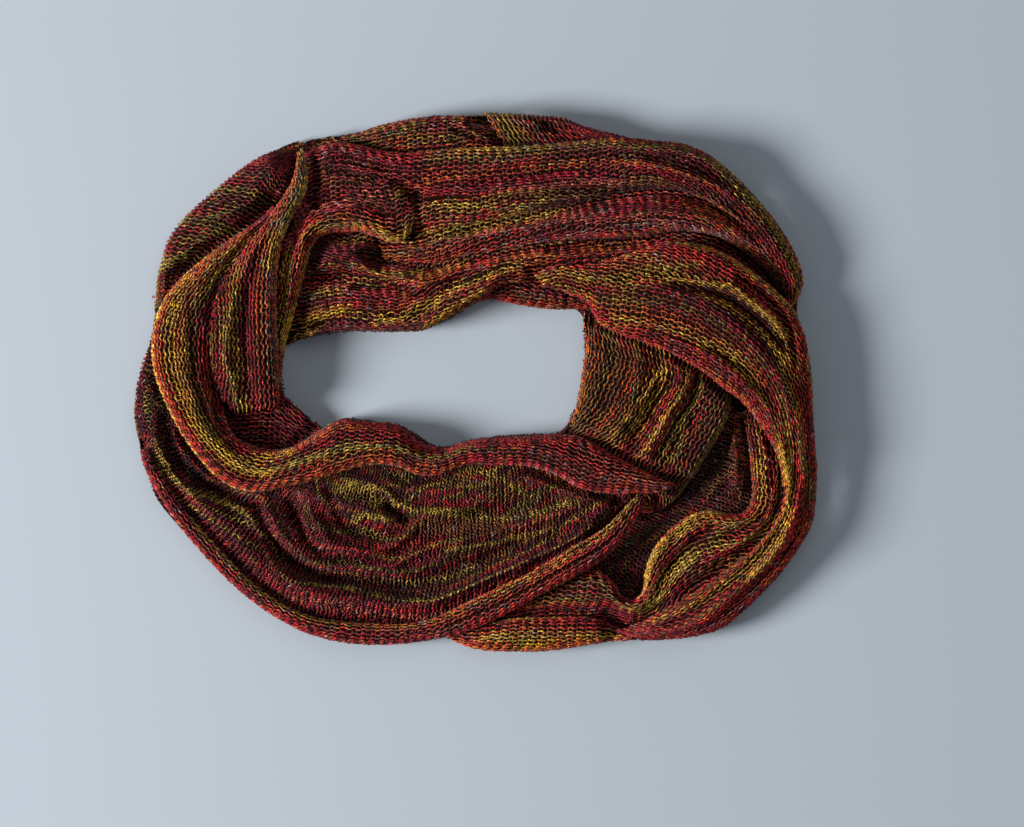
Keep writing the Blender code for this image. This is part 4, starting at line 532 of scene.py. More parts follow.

# Line columns: letter of the row's colour and its half width, rise of the ridge and its half
# width, then x, y of each point. A line with no letter only shapes the cloth, and one with no
# rise only colours it.
# The very dark "D" lines along creases, and the one beside the long sweep's outer edge, are painted
# shade.
LINES = {
    "left_panel": [
        ("Y", 2.2, 0, 0, -163, 60, -165, 40, -162, 5, -158, -10, -150, -25),
        ("C", 1.8, 0, 0, -152, 60, -156, 30, -155, 15, -152, -5, -143, -27),
        ("Y", 2.0, 2, 4, -144, 55, -148, 30, -150, 15, -145, 0, -142, -15, -135, -22),
        ("C", 3.0, -2, 4, -136, 60, -138, 30, -136, 0, -131, -18),
        ("O", 1.8, 0, 0, -127, 65, -129, 45, -128, 20), ("G", 1.8, 0, 0, -120, 90, -124, 75, -126, 60),
        ("C", 1.6, 0, 0, -127, 10, -125, -10, -120, -15),
        ("W", 1.6, 0, 0, -120, 65, -123, 45, -122, 20, -121, -5),
        ("L", 2.2, 0, 0, -104, 135, -103, 120, -108, 105, -115, 95),
        ("O", 1.6, 0, 0, -110, 125, -114, 112),
    ],
    "long_sweep": [
        ("G", 2.6, 0, 0, -172, 62, -180, 52, -184, 35, -181, 15, -177, 0, -172, -15, -165, -30, -155, -38,
         -140, -46, -125, -45, -110, -42), ("Y", 2.2, 1.5, 4, -110, -50, -85, -43, -65, -38, -50, -39),
        ("B", 2.4, -2, 4, -171, 60, -168, 0, -160, -20), ("R", 4.0, 0, 0, 62, -60, 80, -64, 105, -65),
        ("S", 2.0, 0, 0, 62, -42, 80, -48, 100, -57, 115, -62),
    ],
    "curled_rib": [
        ("Y", 1.6, 0, 0, -111, 83, -113, 60), ("C", 1.5, 0, 0, -108, 90, -106, 70, -110, 50),
        ("O", 1.5, 0, 0, -103, 85, -104, 65, -106, 45), ("G", 1.6, 0, 0, -108, 45, -112, 35, -114, 20),
        ("L", 2.0, 1.5, 4, -97, 91, -80, 94, -60, 97), ("O", 1.8, 0, 0, -97, 88, -80, 87, -62, 92),
        ("G", 2.0, 2, 4, -58, 92, -50, 85, -42, 87, -38, 92), ("S", 1.8, 0, 0, -56, 98, -45, 91),
        ("C", 1.8, 0, 0, -58, 105, -48, 103, -42, 98, -37, 112),
        ("G", 2.4, 2, 4, -47, 110, -44, 115, -40, 119),
        ("", 0, -2.5, 4, -98, 98, -80, 101, -62, 104, -50, 98),
    ],
    "right_band": [
        ("Y", 2.0, 2, 4, 60, 60, 80, 62, 100, 66, 135, 70), ("O", 1.6, 0, 0, 70, 66, 95, 69, 115, 75),
        ("R", 2.0, 0, 0, 110, 79, 140, 76, 155, 68, 170, 55),
        ("G", 2.2, 2.5, 4, 110, 62, 130, 60, 145, 58, 155, 56, 162, 50, 170, 44, 180, 35, 188, 26),
        ("D", 2.0, -5, 5, 112, 58, 120, 57, 140, 54, 150, 52, 160, 45, 172, 35, 180, 25, 188, 18),
        ("G", 2.0, 0, 0, 184, 17, 190, 15), ("O", 2.0, 1.5, 4, 100, 38, 120, 35, 140, 28, 150, 22),
        ("G", 1.8, 0, 0, 148, 22, 157, 16, 168, 8), ("R", 2.0, 0, 0, 90, 30, 110, 20, 135, 18, 150, 12),
        ("", 0, -3, 4, 95, 33, 118, 27, 140, 20, 158, 8, 170, -8),
        ("G", 2.4, 2.5, 4, 181, -30, 185, -50, 188, -65, 187, -80, 183, -95, 175, -107, 163, -118),
        ("R", 2.0, -2, 4, 192, -50, 196, -70, 192, -90, 185, -105),
        ("L", 1.8, 1.5, 4, 190, -30, 198, -50, 204, -70),
        ("R", 2.2, 0, 0, 195, -75, 180, -110, 165, -125, 150, -138, 130, -147),
    ],
    "top_outer_band": [
        ("L", 2.0, 1.6, 4, -30, 133, 0, 134, 25, 138, 75, 143, 100, 140, 125, 140, 145, 130, 165, 115,
         178, 105), ("M", 1.6, -2, 4, 45, 134, 75, 137, 100, 135, 140, 122),
        ("O", 2.0, 2, 4, 40, 130, 80, 132, 100, 131, 120, 127, 150, 115),
        ("R", 1.8, 0, 0, -40, 126, 10, 127, 40, 131), ("O", 1.6, 1.5, 4, -35, 121, 5, 122),
        ("C", 2.0, -2, 4, -35, 117, 20, 120, 50, 126, 90, 126, 110, 124, 160, 108),
        ("S", 1.8, 2, 4, 10, 115, 50, 117, 75, 120, 95, 119),
        ("Y", 1.8, 2, 4, -20, 103, 0, 104, 15, 104, 35, 106, 50, 109),
        ("", 0, -3.5, 4, -40, 110, 0, 110, 40, 112),
        ("D", 1.5, -4, 5, 50, 112, 60, 115, 90, 115, 110, 116, 125, 115, 140, 112, 155, 104, 170, 94),
        ("C", 3.0, 2, 6, -95, 140, -70, 136, -50, 130, -30, 124),
        ("D", 1.8, -3, 4, -100, 128, -80, 126, -61, 121, -45, 118),
        ("B", 2.0, 0, 0, -95, 121, -75, 119, -60, 116),
    ],
    "top_middle_band": [
        ("G", 2.0, 1.5, 4, -35, 94, 10, 98), ("S", 2.0, 0, 0, -30, 80, -10, 83, 15, 91),
        ("C", 2.0, 0, 0, 60, 104, 120, 108), ("O", 2.0, 0, 0, 135, 104, 160, 100, 185, 88),
        ("S", 1.8, 1.6, 4, 50, 97, 110, 97, 160, 85, 185, 72), ("W", 1.6, 0, 0, 50, 92, 120, 93, 165, 83),
        ("D", 2.0, -4, 5, 40, 83, 100, 85, 115, 88, 130, 87, 145, 82, 160, 75, 175, 65, 190, 50),
    ],
    "top_inner_band": [
        ("", 0, 3, 5, -100, 68, -90, 73, -80, 76, -70, 76), ("", 0, -3, 7, -82, 68, -60, 69, -40, 69),
        ("", 0, 3, 6, -90, 79, -72, 79, -58, 77, -48, 74), ("R", 2.0, 0, 0, -95, 62, -65, 66),
        ("B", 2.0, 0, 0, -60, 75, -45, 74), ("S", 1.8, 0, 0, -95, 58, -75, 60),
        ("D", 1.8, -3, 4, -75, 57, -55, 58), ("Y", 1.8, 0, 0, -105, 52, -80, 56),
        ("C", 1.8, 0, 0, -70, 52, -50, 52), ("R", 2.0, 0, 0, -75, 45, -60, 43),
        ("G", 2.0, 2.5, 4, -112, 35, -100, 38, -85, 42, -75, 43),
        ("G", 1.8, 0, 0, -112, 27, -100, 31, -90, 38), ("D", 2.0, -3, 5, -100, 32, -80, 35, -60, 37),
        ("G", 2.0, 2.5, 4, -60, 42, -52, 36, -45, 38, -35, 44),
        ("O", 2.0, 2, 4, -45, 50, -20, 65, -5, 70), ("G", 2.0, 2, 4, -30, 32, -10, 46, 10, 57),
        ("", 0, -3, 4, -38, 40, -15, 56, 5, 64, 25, 72), ("C", 2.0, 0, 0, -15, 35, 10, 52, 25, 65),
        ("O", 2.0, 0, 0, 15, 57, 45, 75), ("C", 1.8, 0, 0, 40, 79, 65, 80),
        ("O", 1.8, 0, 0, 40, 75, 85, 81),
    ],
    "left_shoulder": [
        ("L", 2.0, 0, 0, -160, 114, -150, 117),
        ("L", 2.0, 1.5, 5, -175, 97, -165, 98, -150, 101, -135, 104, -125, 108),
        ("Y", 1.8, 0, 0, -178, 85, -165, 87, -150, 89, -135, 91),
        ("Y", 2.0, 1.5, 4, -195, 60, -188, 70, -178, 76, -165, 78),
        ("D", 2.4, -3, 5, -187, 62, -178, 68, -165, 72), ("Y", 2.0, 0, 0, -194, 50, -193, 60),
    ],
    "turned_fold": [
        ("W", 1.8, 0, 0, 20, 157, 35, 152), ("D", 2.0, -3, 4, 40, 155, 50, 150),
    ],
    "top_rim_fold": [
        ("L", 2.0, 0, 0, -102, 144, -85, 148, -75, 147, -60, 140, -45, 134),
        ("L", 2.0, 1.5, 4, -55, 148, -30, 150), ("D", 1.5, -3, 4, -15, 152, 0, 146),
        ("S", 1.8, 0, 0, -15, 155, 5, 150), ("O", 1.8, 0, 0, -10, 160, 10, 158),
    ],
    "rolled_rim": [
        ("Y", 2.0, 1.5, 4, 50, -101, 65, -92, 80, -84, 92, -74, 100, -67),
        ("O", 1.8, 0, 0, 45, -112, 60, -105, 72, -98, 85, -85, 97, -72),
        ("R", 2.0, 0, 0, -10, -148, 20, -137, 45, -120, 60, -112, 75, -103),
        ("", 0, -2.5, 4, 30, -116, 50, -106, 68, -96, 84, -83),
    ],
    "right_inner_panel": [
        ("G", 2.4, 2.5, 4, 112, 10, 105, -3, 97, -14, 87, -27, 80, -36),
        ("G", 2.2, 3, 4, 128, 8, 127, 0, 122, -10, 115, -18, 110, -27, 103, -38, 98, -46),
        ("Y", 2.0, 2.5, 4, 137, 8, 136, -3, 132, -13, 126, -22, 124, -32, 122, -42, 114, -48),
        ("R", 2.0, 0, 0, 143, 0, 138, -15, 131, -32, 124, -50),
        ("L", 2.6, 1.5, 4, 152, -2, 150, -20, 143, -33, 137, -45, 130, -57, 122, -70, 112, -80, 100, -88),
        ("", 0, -3, 4, 120, 10, 116, -2, 108, -14, 98, -27, 90, -38),
        ("", 0, -3, 4, 133, 8, 131, -3, 126, -14, 119, -24, 113, -36, 106, -47),
    ],
    "bottom_lip": [
        ("C", 1.8, 0, 0, 55, -142, 82, -145), ("G", 3.0, 0, 0, 10, -155, 35, -157, 60, -152, 85, -152),
        ("L", 2.5, 0, 0, 38, -135, 60, -135),
    ],
    "pocket_fold": [
        ("G", 2.6, 2, 4, 160, -73, 150, -76, 140, -76, 130, -82, 122, -88, 112, -97, 106, -105, 103, -112,
         103, -120), ("R", 1.8, 0, 0, 140, -85, 128, -93, 118, -103, 110, -112, 104, -128),
        ("Y", 2.2, 1.5, 4, 165, -84, 150, -88, 140, -97, 130, -106, 120, -115, 115, -125, 110, -132,
         104, -138, 97, -139), ("", 0, -3, 4, 145, -84, 131, -94, 120, -106, 112, -118, 106, -130),
        ("B", 2.4, 0, 0, 172, -100, 160, -110, 150, -120, 138, -128, 125, -137),
        ("", 0, -3, 4, 165, -95, 150, -105, 138, -115, 126, -127),
        ("C", 2.2, 0, 0, 80, -115, 87, -127, 97, -133),
        ("L", 2.0, 0, 0, 50, -122, 65, -120, 73, -117, 80, -127, 88, -135),
        ("G", 2.0, 0, 0, 168, -45, 170, -60, 172, -75),
    ],
    "recess": [
        ("O", 1.8, 4, 3.5, 154, -15, 158, -28, 161, -40, 163, -55),
        ("D", 4.0, -3, 6, 148, -35, 138, -55, 122, -75), ("B", 3.0, 2, 5, 155, -48, 148, -58, 140, -68),
    ],
    "knit_face": [
        ("", 0, 4, 9, -180, -62, -150, -80, -130, -92, -117, -112, -100, -124, -70, -128, -40, -133,
         -10, -126, 20, -112, 45, -97),
        ("", 0, -8, 7, -188, -10, -186, -38, -178, -52, -165, -62, -145, -68, -133, -74, -124, -90,
         -118, -103, -110, -112, -95, -117, -70, -118, -45, -122, -30, -118, -5, -108, 20, -98, 45, -86),
        ("", 0, 4, 5, -130, -74, -122, -86, -112, -98, -102, -107, -90, -111, -65, -112, -48, -110,
         -36, -102, -20, -96, 10, -93),
        ("", 0, -6, 5, -114, -66, -109, -82, -103, -94, -94, -102, -82, -106, -62, -106, -48, -103,
         -38, -96),
        ("", 0, 4, 6, -110, -63, -102, -73, -95, -86, -88, -96, -76, -100, -60, -101, -46, -96, -38, -87,
         -28, -80, 0, -80), ("", 0, -4, 5, -92, -62, -85, -75, -80, -86, -70, -92, -55, -92, -46, -88),
        ("Y", 3.0, 4, 4, -75, -84, -66, -80, -56, -81, -51, -85),
        ("", 0, -7, 4, -56, -73, -52, -76, -46, -81, -40, -84),
        ("Y", 2.4, 4, 5, -66, -61, -56, -65, -46, -73, -36, -77, -15, -76, 10, -77),
        ("", 0, -5, 6, -78, -54, -62, -55, -50, -56, -38, -62),
        ("", 0, -4, 5, -10, -78, 15, -76, 30, -74, 45, -72, 55, -70),
        ("", 0, -3.5, 4, -10, -97, 10, -94, 30, -88, 50, -83, 65, -77),
        ("", 0, -3.5, 4, 0, -107, 20, -103, 35, -98, 50, -92),
        ("Y", 1.8, 3, 4, -20, -102, -8, -99, 10, -97, 30, -93, 48, -88),
        ("Y", 2.4, 0, 0, -193, -35, -185, -55, -178, -62, -170, -65, -160, -67, -150, -72, -140, -77,
         -131, -83), ("Y", 2.0, 0, 0, -8, -52, 5, -53, 15, -58, 24, -64, 33, -70),
        ("L", 3.4, 0, 0, -20, -62, -10, -60, 0, -62, 12, -67, 20, -70),
        ("C", 1.8, 0, 0, -30, -72, 15, -75),
        ("Y", 1.8, 0, 0, -40, -78, -20, -79, 20, -82, 35, -78, 50, -73, 62, -71),
        ("B", 5.0, 0, 0, -40, -86, 0, -87, 20, -87), ("S", 1.8, 0, 0, 20, -90, 40, -84, 60, -75),
        ("O", 2.0, 0, 0, 42, -54, 52, -60, 66, -66), ("L", 2.0, 0, 0, -197, 10, -194, -30, -190, -40),
        # Painted shade: a dark band in the deep valley beside the long sweep's outer edge.
        ("D", 3.4, 0, 0, -190, -10, -186, -32, -178, -47, -165, -58, -150, -66),
    ],
}


def travel_along(points):
    """How far along a line of points each of them lies."""
    return np.concatenate([[0.0], np.cumsum(np.linalg.norm(np.diff(points, axis=0), axis=1))])


def unit(vectors):
    """Vectors of length 1 that point the same way."""
    return vectors / np.maximum(np.linalg.norm(vectors, axis=-1, keepdims=True), TINY)


def bilinear(grid, row, column, past_row, past_column):
    """Values of a grid between its whole places."""
    near = grid[row, column] * (1 - past_column) + grid[row, column + 1] * past_column
    far = grid[row + 1, column] * (1 - past_column) + grid[row + 1, column + 1] * past_column
    return near * (1 - past_row) + far * past_row


def spline_rows(rows, steps, closed=False):
    """Catmull-Rom rows through a table, spaced evenly along the middle of the strip."""
    table = np.array(rows, dtype=float)
    count = len(table)
    dense = []
    for span in range(count if closed else count - 1):
        picks = np.arange(span - 1, span + 3)
        before, start, end, after = table[picks % count if closed else picks.clip(0, count - 1)]
        for t in np.linspace(0.0, 1.0, SPLINE_POINTS, endpoint=False):
            dense.append(0.5 * (2 * start + (end - before) * t
                                + (2 * before - 5 * start + 4 * end - after) * t ** 2
                                + (3 * start - before - 3 * end + after) * t ** 3))
    dense = np.array(dense + [table[0 if closed else -1]])
    travel = travel_along((dense[:, 0:2] + dense[:, 2:4]) / 2)
    if steps is None:
        steps = max(LEAST_ROWS, int(travel[-1] / ALONG_STEP))
    stops = np.linspace(0.0, travel[-1], steps + 1)
    if closed:
        stops = stops[:-1]
    return np.array([np.interp(stops, travel, column) for column in dense.T]).T, travel[-1]


def smooth_noise(u, v, cell_u, cell_v, seed):
    """Value noise between -1 and 1 with its own cell size each way."""
    grid = np.random.default_rng(seed).uniform(-1, 1, (NOISE_CELLS, NOISE_CELLS))
    cells, past = [], []
    for place in (v / cell_v + NOISE_CELLS // 2, u / cell_u + NOISE_CELLS // 2):
        cell = np.floor(place).astype(int)
        share = place - cell
        cells.append(cell % (NOISE_CELLS - 1))
        past.append(share * share * (3 - 2 * share))
    return bilinear(grid.T, *cells, *past)


def fold_heights(folds, along, across, width):
    """Height that the folds add. along is a column, across a grid."""
    height = np.zeros_like(across)
    for first, middle, last, start, end, rise, half_width in folds:
        t = (along - start) / (end - start)
        inside = (t >= 0) & (t <= 1)
        t = np.clip(t, 0, 1)
        place = first * (1 - t) * (1 - 2 * t) + middle * 4 * t * (1 - t) + last * t * (2 * t - 1)
        offset = np.minimum(np.abs(across - place) * width / half_width, 1.0)
        fade = np.minimum(np.minimum(1.0, t / FOLD_FADE), (1.0 - t) / FOLD_FADE)
        height += inside * rise * np.cos(offset * np.pi / 2) ** 2 * np.sin(fade * np.pi / 2)
    return height


def line_places(line, x, y):
    """Distance of plan places from a line of points, and how far along it they lie, 0 to 1."""
    spans = np.diff(line, axis=0)
    lengths, travel = np.linalg.norm(spans, axis=1), travel_along(line)
    nearest, share = np.full(x.shape, np.inf), np.zeros(x.shape)
    for start, span, length, before in zip(line, spans, lengths, travel):
        t = np.clip(((x - start[0]) * span[0] + (y - start[1]) * span[1]) / length ** 2, 0, 1)
        distance = np.hypot(x - start[0] - t * span[0], y - start[1] - t * span[1])
        share = np.where(distance < nearest, (before + t * length) / travel[-1], share)
        nearest = np.minimum(nearest, distance)
    return nearest, share


def crease_heights(lines, x, y):
    """Height that the creases and ridges along plan lines add."""
    height = np.zeros_like(x)
    for _, _, rise, half_width, *line in lines:
        if rise:
            distance, share = line_places(plan_points(line), x, y)
            fade = np.clip(np.minimum(share, 1 - share) / CREASE_FADE, 0, 1)
            offset = np.minimum(distance / half_width, 1.0)
            height += rise * np.cos(offset * np.pi / 2) ** 2 * np.sin(fade * np.pi / 2)
    return height


def plan_points(line):
    """Points from x, y, x, y and so on."""
    return np.array(line, dtype=float).reshape(-1, 2)


def edge_roll(drops, reach, steps):
    """One edge roll from the strip outward, for all sections: distance in from the edge, fall."""
    turn = FULL_TURN * np.clip(drops / FULL_TURN_DROP, LEAST_TURN, 1.0)[:, None]
    quarter = math.pi / 2
    widest = np.sin(np.minimum(turn, quarter))
    fall_scale = 1.0 - np.cos(np.minimum(turn, quarter))
    angle = turn * (np.arange(1, steps + 1) / steps)
    inward = reach[:, None] * (1.0 - np.sin(angle) / widest)
    fall = drops[:, None] * (1.0 - np.cos(np.minimum(angle, quarter))) / fall_scale
    return inward, fall + UNDER_TURN * np.sin(np.maximum(angle - quarter, 0.0))


class Pressing:
    """Plan map of the underside of all the cloth laid so far."""

    def __init__(self):
        self.shape = (int(MAP_DEEP / CELL), int(MAP_WIDE / CELL))
        self.under = np.full(self.shape, np.inf)
        self.refresh()

    def cells(self, x, y):
        """Rows and columns of the cells at plan places."""
        column = np.clip(((x - MAP_LEFT) / CELL).astype(int), 0, self.shape[1] - 1)
        row = np.clip(((y - MAP_NEAR) / CELL).astype(int), 0, self.shape[0] - 1)
        return row, column

    def add(self, points):
        """Lay one more stretch, given as a grid of its outer face."""
        dense = points
        for axis in (0, 1):
            between = (np.take(dense, range(1, dense.shape[axis]), axis)
                       + np.take(dense, range(dense.shape[axis] - 1), axis)) / 2
            dense = np.concatenate([dense, between], axis)
        places = self.cells(dense[..., 0].ravel(), dense[..., 1].ravel())
        np.minimum.at(self.under, places, dense[..., 2].ravel() - CLOTH_WALL)
        self.refresh()

    def refresh(self):
        """Greatest height allowed at each cell, and which cells lie well in under the cloth."""
        rows, columns = self.shape
        reach = int(PRESS_REACH / CELL)
        padded = np.pad(self.under, reach, constant_values=np.inf)
        self.limit = np.full(self.shape, np.inf)
        self.covered = np.ones(self.shape, bool)
        for j in range(-reach, reach + 1):
            for i in range(-reach, reach + 1):
                radius = CELL * math.hypot(i, j)
                part = padded[reach + j:reach + j + rows, reach + i:reach + i + columns]
                rise = PRESS_SLOPE * max(0.0, radius - PRESS_FLAT)
                if radius <= PRESS_REACH:
                    np.minimum(self.limit, part - PRESS_GAP + rise, out=self.limit)
                if radius <= COVER_MARGIN:
                    self.covered &= np.isfinite(part)

    def limits(self, x, y):
        """Greatest height allowed at plan places."""
        places = (y - MAP_NEAR) / CELL - 0.5, (x - MAP_LEFT) / CELL - 0.5
        cells = [np.floor(place).astype(int) for place in places]
        past = [place - cell for place, cell in zip(places, cells)]
        cells = [np.clip(cell, 0, size - 2) for cell, size in zip(cells, self.shape)]
        return bilinear(np.minimum(self.limit, NO_LIMIT), *cells, *past)


def hang_roll(points, falls, limits, start, roll, edge_height, rate):
    """Hang one edge roll from the pressed top, opened out flat as far as it has no room."""
    deepest = falls[:, roll].max(1)
    room = np.minimum(points[:, start, 2], limits[:, roll].min(1)) - LOWEST_ROLL
    free = np.where(deepest > 0, np.clip(room / np.maximum(deepest, TINY), 0, 1), 1.0)
    for _ in range(2):
        for row in range(1, len(free)):
            free[row] = min(free[row], free[row - 1] + rate)
        free = free[::-1].copy()
    tip = points[:, roll[-1], 0:2] - points[:, start, 0:2]
    hung = (points[:, start, 2] - edge_height[:, start])[:, None] + edge_height[:, roll]
    hung = hung - free[:, None] * falls[:, roll]
    sunk = np.maximum(0.0, (hung - limits[:, roll]).max(1))
    for number, column in enumerate(roll):
        flat = points[:, start, 0:2] + tip * ((number + 1) / len(roll) * FLAT_TIP)
        points[:, column, 0:2] = flat + (points[:, column, 0:2] - flat) * free[:, None]
        points[:, column, 2] = hung[:, number] - sunk


def strip_surface(stretch, pressing, seed):
    """Outer face of one stretch as a grid of points, and the columns at which its rolls start."""
    rows, length = spline_rows(stretch["sections"], None)
    first, second = rows[:, 0:2], rows[:, 2:4]
    width = np.linalg.norm(second - first, axis=1)[:, None]
    way = (second - first) / width
    reach = np.minimum(ROLL_REACH, WIDEST_ROLL * width[:, 0])
    sides = [(rows[:, k], ROLL_POINTS if rows[:, k].max() > FLAT_EDGE_DROP else FLAT_POINTS)
             for k in DROP_COLUMNS]
    (first_in, first_fall), (second_in, second_fall) = (edge_roll(drops, reach, steps)
                                                        for drops, steps in sides)
    start = sides[0][1]
    end = start + max(LEAST_COLUMNS, int(np.percentile(width, USUAL_WIDTH) / ACROSS_STEP))
    middle = reach[:, None] + (width - 2 * reach[:, None]) * np.linspace(0, 1, end - start + 1)
    distance = np.concatenate([first_in[:, ::-1], middle, width - second_in], axis=1)
    falls = np.concatenate([first_fall[:, ::-1], np.zeros_like(middle), second_fall], axis=1)
    across = distance / width
    along = np.linspace(0, 1, len(rows))[:, None]
    travelled = along * length
    height = rows[:, 4:5] + (rows[:, 5:6] - rows[:, 4:5]) * across
    height = height + stretch["bulge"] * (1.0 - (2 * across - 1.0) ** 2)
    height += fold_heights(stretch["folds"], along, across, width)
    from_edge = distance if stretch["from"] == "first" else width - distance
    height += stretch["ripple"] * sum(
        depth * smooth_noise(travelled, from_edge, long, wide, seed + number)
        for number, (depth, long, wide) in enumerate(RIPPLES))
    for from_end in (travelled, length - travelled):
        past = np.clip(1.0 - from_end / END_REACH, 0.0, 1.0)
        height = height - stretch["ends"] * (1.0 - np.sqrt(1.0 - past ** 2))
    points = np.zeros((*distance.shape, 3))
    points[..., 0:2] = first[:, None, :] + way[:, None, :] * distance[..., None]
    height += crease_heights(stretch["lines"], points[..., 0], points[..., 1])
    limits = pressing.limits(points[..., 0], points[..., 1])
    points[..., 2] = height
    span = slice(start, end + 1)
    points[:, span, 2] = np.minimum(points[:, span, 2], limits[:, span])
    rate = OPENING_RATE * length / (len(rows) - 1)
    rolls = (start, range(start - 1, -1, -1)), (end, range(end + 1, distance.shape[1]))
    for column, roll in rolls:
        hang_roll(points, falls, limits, column, list(roll), height, rate)
    points[..., 2] = np.maximum(points[..., 2], LOWEST_CLOTH)
    return points, (start, end)


def grid_normals(points, upright=True):
    """Outward unit normals of a grid, upward in its middle if it lies upright."""
    normals = unit(np.cross(np.gradient(points, axis=0), np.gradient(points, axis=1)))
    return -normals if upright and normals[..., 2].mean() < 0 else normals


def running_mean(values, span):
    """Values averaged over an odd span of neighbours."""
    padded = np.pad(values, span // 2, mode="edge")
    return np.convolve(padded, np.ones(span) / span, mode="valid")


def arc_grid(points, starts, stretch):
    """Length across the grid at each point, from the reference edge or from the guide line.

    Returns the lengths and even stops over their whole range."""
    lengths = np.linalg.norm(np.diff(points, axis=1), axis=2)
    lengths = np.apply_along_axis(running_mean, 0, lengths, ARC_SMOOTH)
    arcs = np.concatenate([np.zeros((len(points), 1)), np.cumsum(lengths, axis=1)], axis=1)
    if stretch["guide"]:
        zero = guide_crossings(plan_points(stretch["guide"]), points, arcs, starts)
    else:
        zero = arcs[:, starts[0 if stretch["from"] == "first" else 1]]
    arcs = arcs - zero[:, None]
    low = ARC_STEP * math.floor(arcs.min() / ARC_STEP)
    high = ARC_STEP * math.ceil(arcs.max() / ARC_STEP)
    return arcs, np.arange(low, high + ARC_STEP / 2, ARC_STEP)


def guide_crossings(guide, points, arcs, starts):
    """Length across at which the guide line crosses each section, held on past its ends."""
    travel = travel_along(guide)
    even = np.arange(0.0, travel[-1], ALONG_STEP / 2)
    line = np.stack([np.interp(even, travel, guide[:, k]) for k in range(2)], axis=1)
    flat = points[:, starts[0]:starts[1] + 1, 0:2]
    total, hits = np.zeros(len(points)), np.zeros(len(points))
    for spot in line:
        away = ((flat - spot) ** 2).sum(2)
        row, column = np.unravel_index(away.argmin(), away.shape)
        total[row] += arcs[row, column + starts[0]]
        hits[row] += 1
    seen = np.flatnonzero(hits)
    crossing = np.interp(np.arange(len(points)), seen, total[seen] / hits[seen])
    return running_mean(crossing, GUIDE_SMOOTH)


def resample(arcs, stops, values):
    """Values of a grid at even arc steps, row by row."""
    return np.stack([np.stack([np.interp(stops, arc, column) for column in row.T], axis=1)
                     for arc, row in zip(arcs, values)])


def sample(grid, u, v):
    """Values of a grid at fractional rows u and columns v, which stop just short of its end."""
    u, v = (np.clip(place, 0, size - 1.001) for place, size in zip((u, v), grid.shape))
    row, column = u.astype(int), v.astype(int)
    return bilinear(grid, row, column, (u - row)[..., None], (v - column)[..., None])


def new_object(name, data):
    """An object in the scene that shows some data."""
    piece = bpy.data.objects.new(name, data)
    bpy.context.scene.collection.objects.link(piece)
    return piece


def new_mesh_object(name, vertices, quads, colours, uv, material):
    """A mesh from arrays: quads of corners, a colour for each vertex and a UV for each corner."""
    mesh = bpy.data.meshes.new(name)
    mesh.vertices.add(len(vertices))
    mesh.vertices.foreach_set("co", (vertices * MM).astype(np.float32).ravel())
    mesh.loops.add(quads.size)
    mesh.loops.foreach_set("vertex_index", quads.astype(np.int32).ravel())
    mesh.polygons.add(len(quads))
    mesh.polygons.foreach_set("loop_start", np.arange(0, quads.size, 4, dtype=np.int32))
    mesh.polygons.foreach_set("use_smooth", np.ones(len(quads), bool))
    mesh.update(calc_edges=True)
    layer = mesh.attributes.new("yarn_colour", "FLOAT_COLOR", "POINT")
    opaque = np.concatenate([colours, np.ones((len(colours), 1))], axis=1)
    layer.data.foreach_set("color", opaque.astype(np.float32).ravel())
    for title, places in uv.items():
        mesh.uv_layers.new(name=title).data.foreach_set("uv", places.astype(np.float32).ravel())
    mesh.materials.append(material)
    return new_object(name, mesh)


def mirrored(number, count):
    """A number counted to and fro over a table of so many."""
    number = number % (2 * count)
    return number if number < count else 2 * count - 1 - number


def chart_codes(chart, numbers, reference):
    """A chart as arrays: places along, and the letter number of each row at each place.

    A bar in the letters marks the guide line, with the first edge before it. Without a bar the
    letters start at the reference edge."""
    codes = []
    for _, letters in chart:
        before, bar, after = letters.partition("|")
        if not bar:
            steps = numbers if reference == "first" else -numbers
            picks = [letters[mirrored(abs(step + EDGE_ROWS), len(letters))] for step in steps]
        else:
            picks = [after[mirrored(k, len(after))] if k >= 0
                     else before[::-1][mirrored(-1 - k, len(before))] for k in numbers]
        codes.append([LETTERS.index(pick) for pick in picks])
    return np.array([place for place, _ in chart]), np.array(codes)


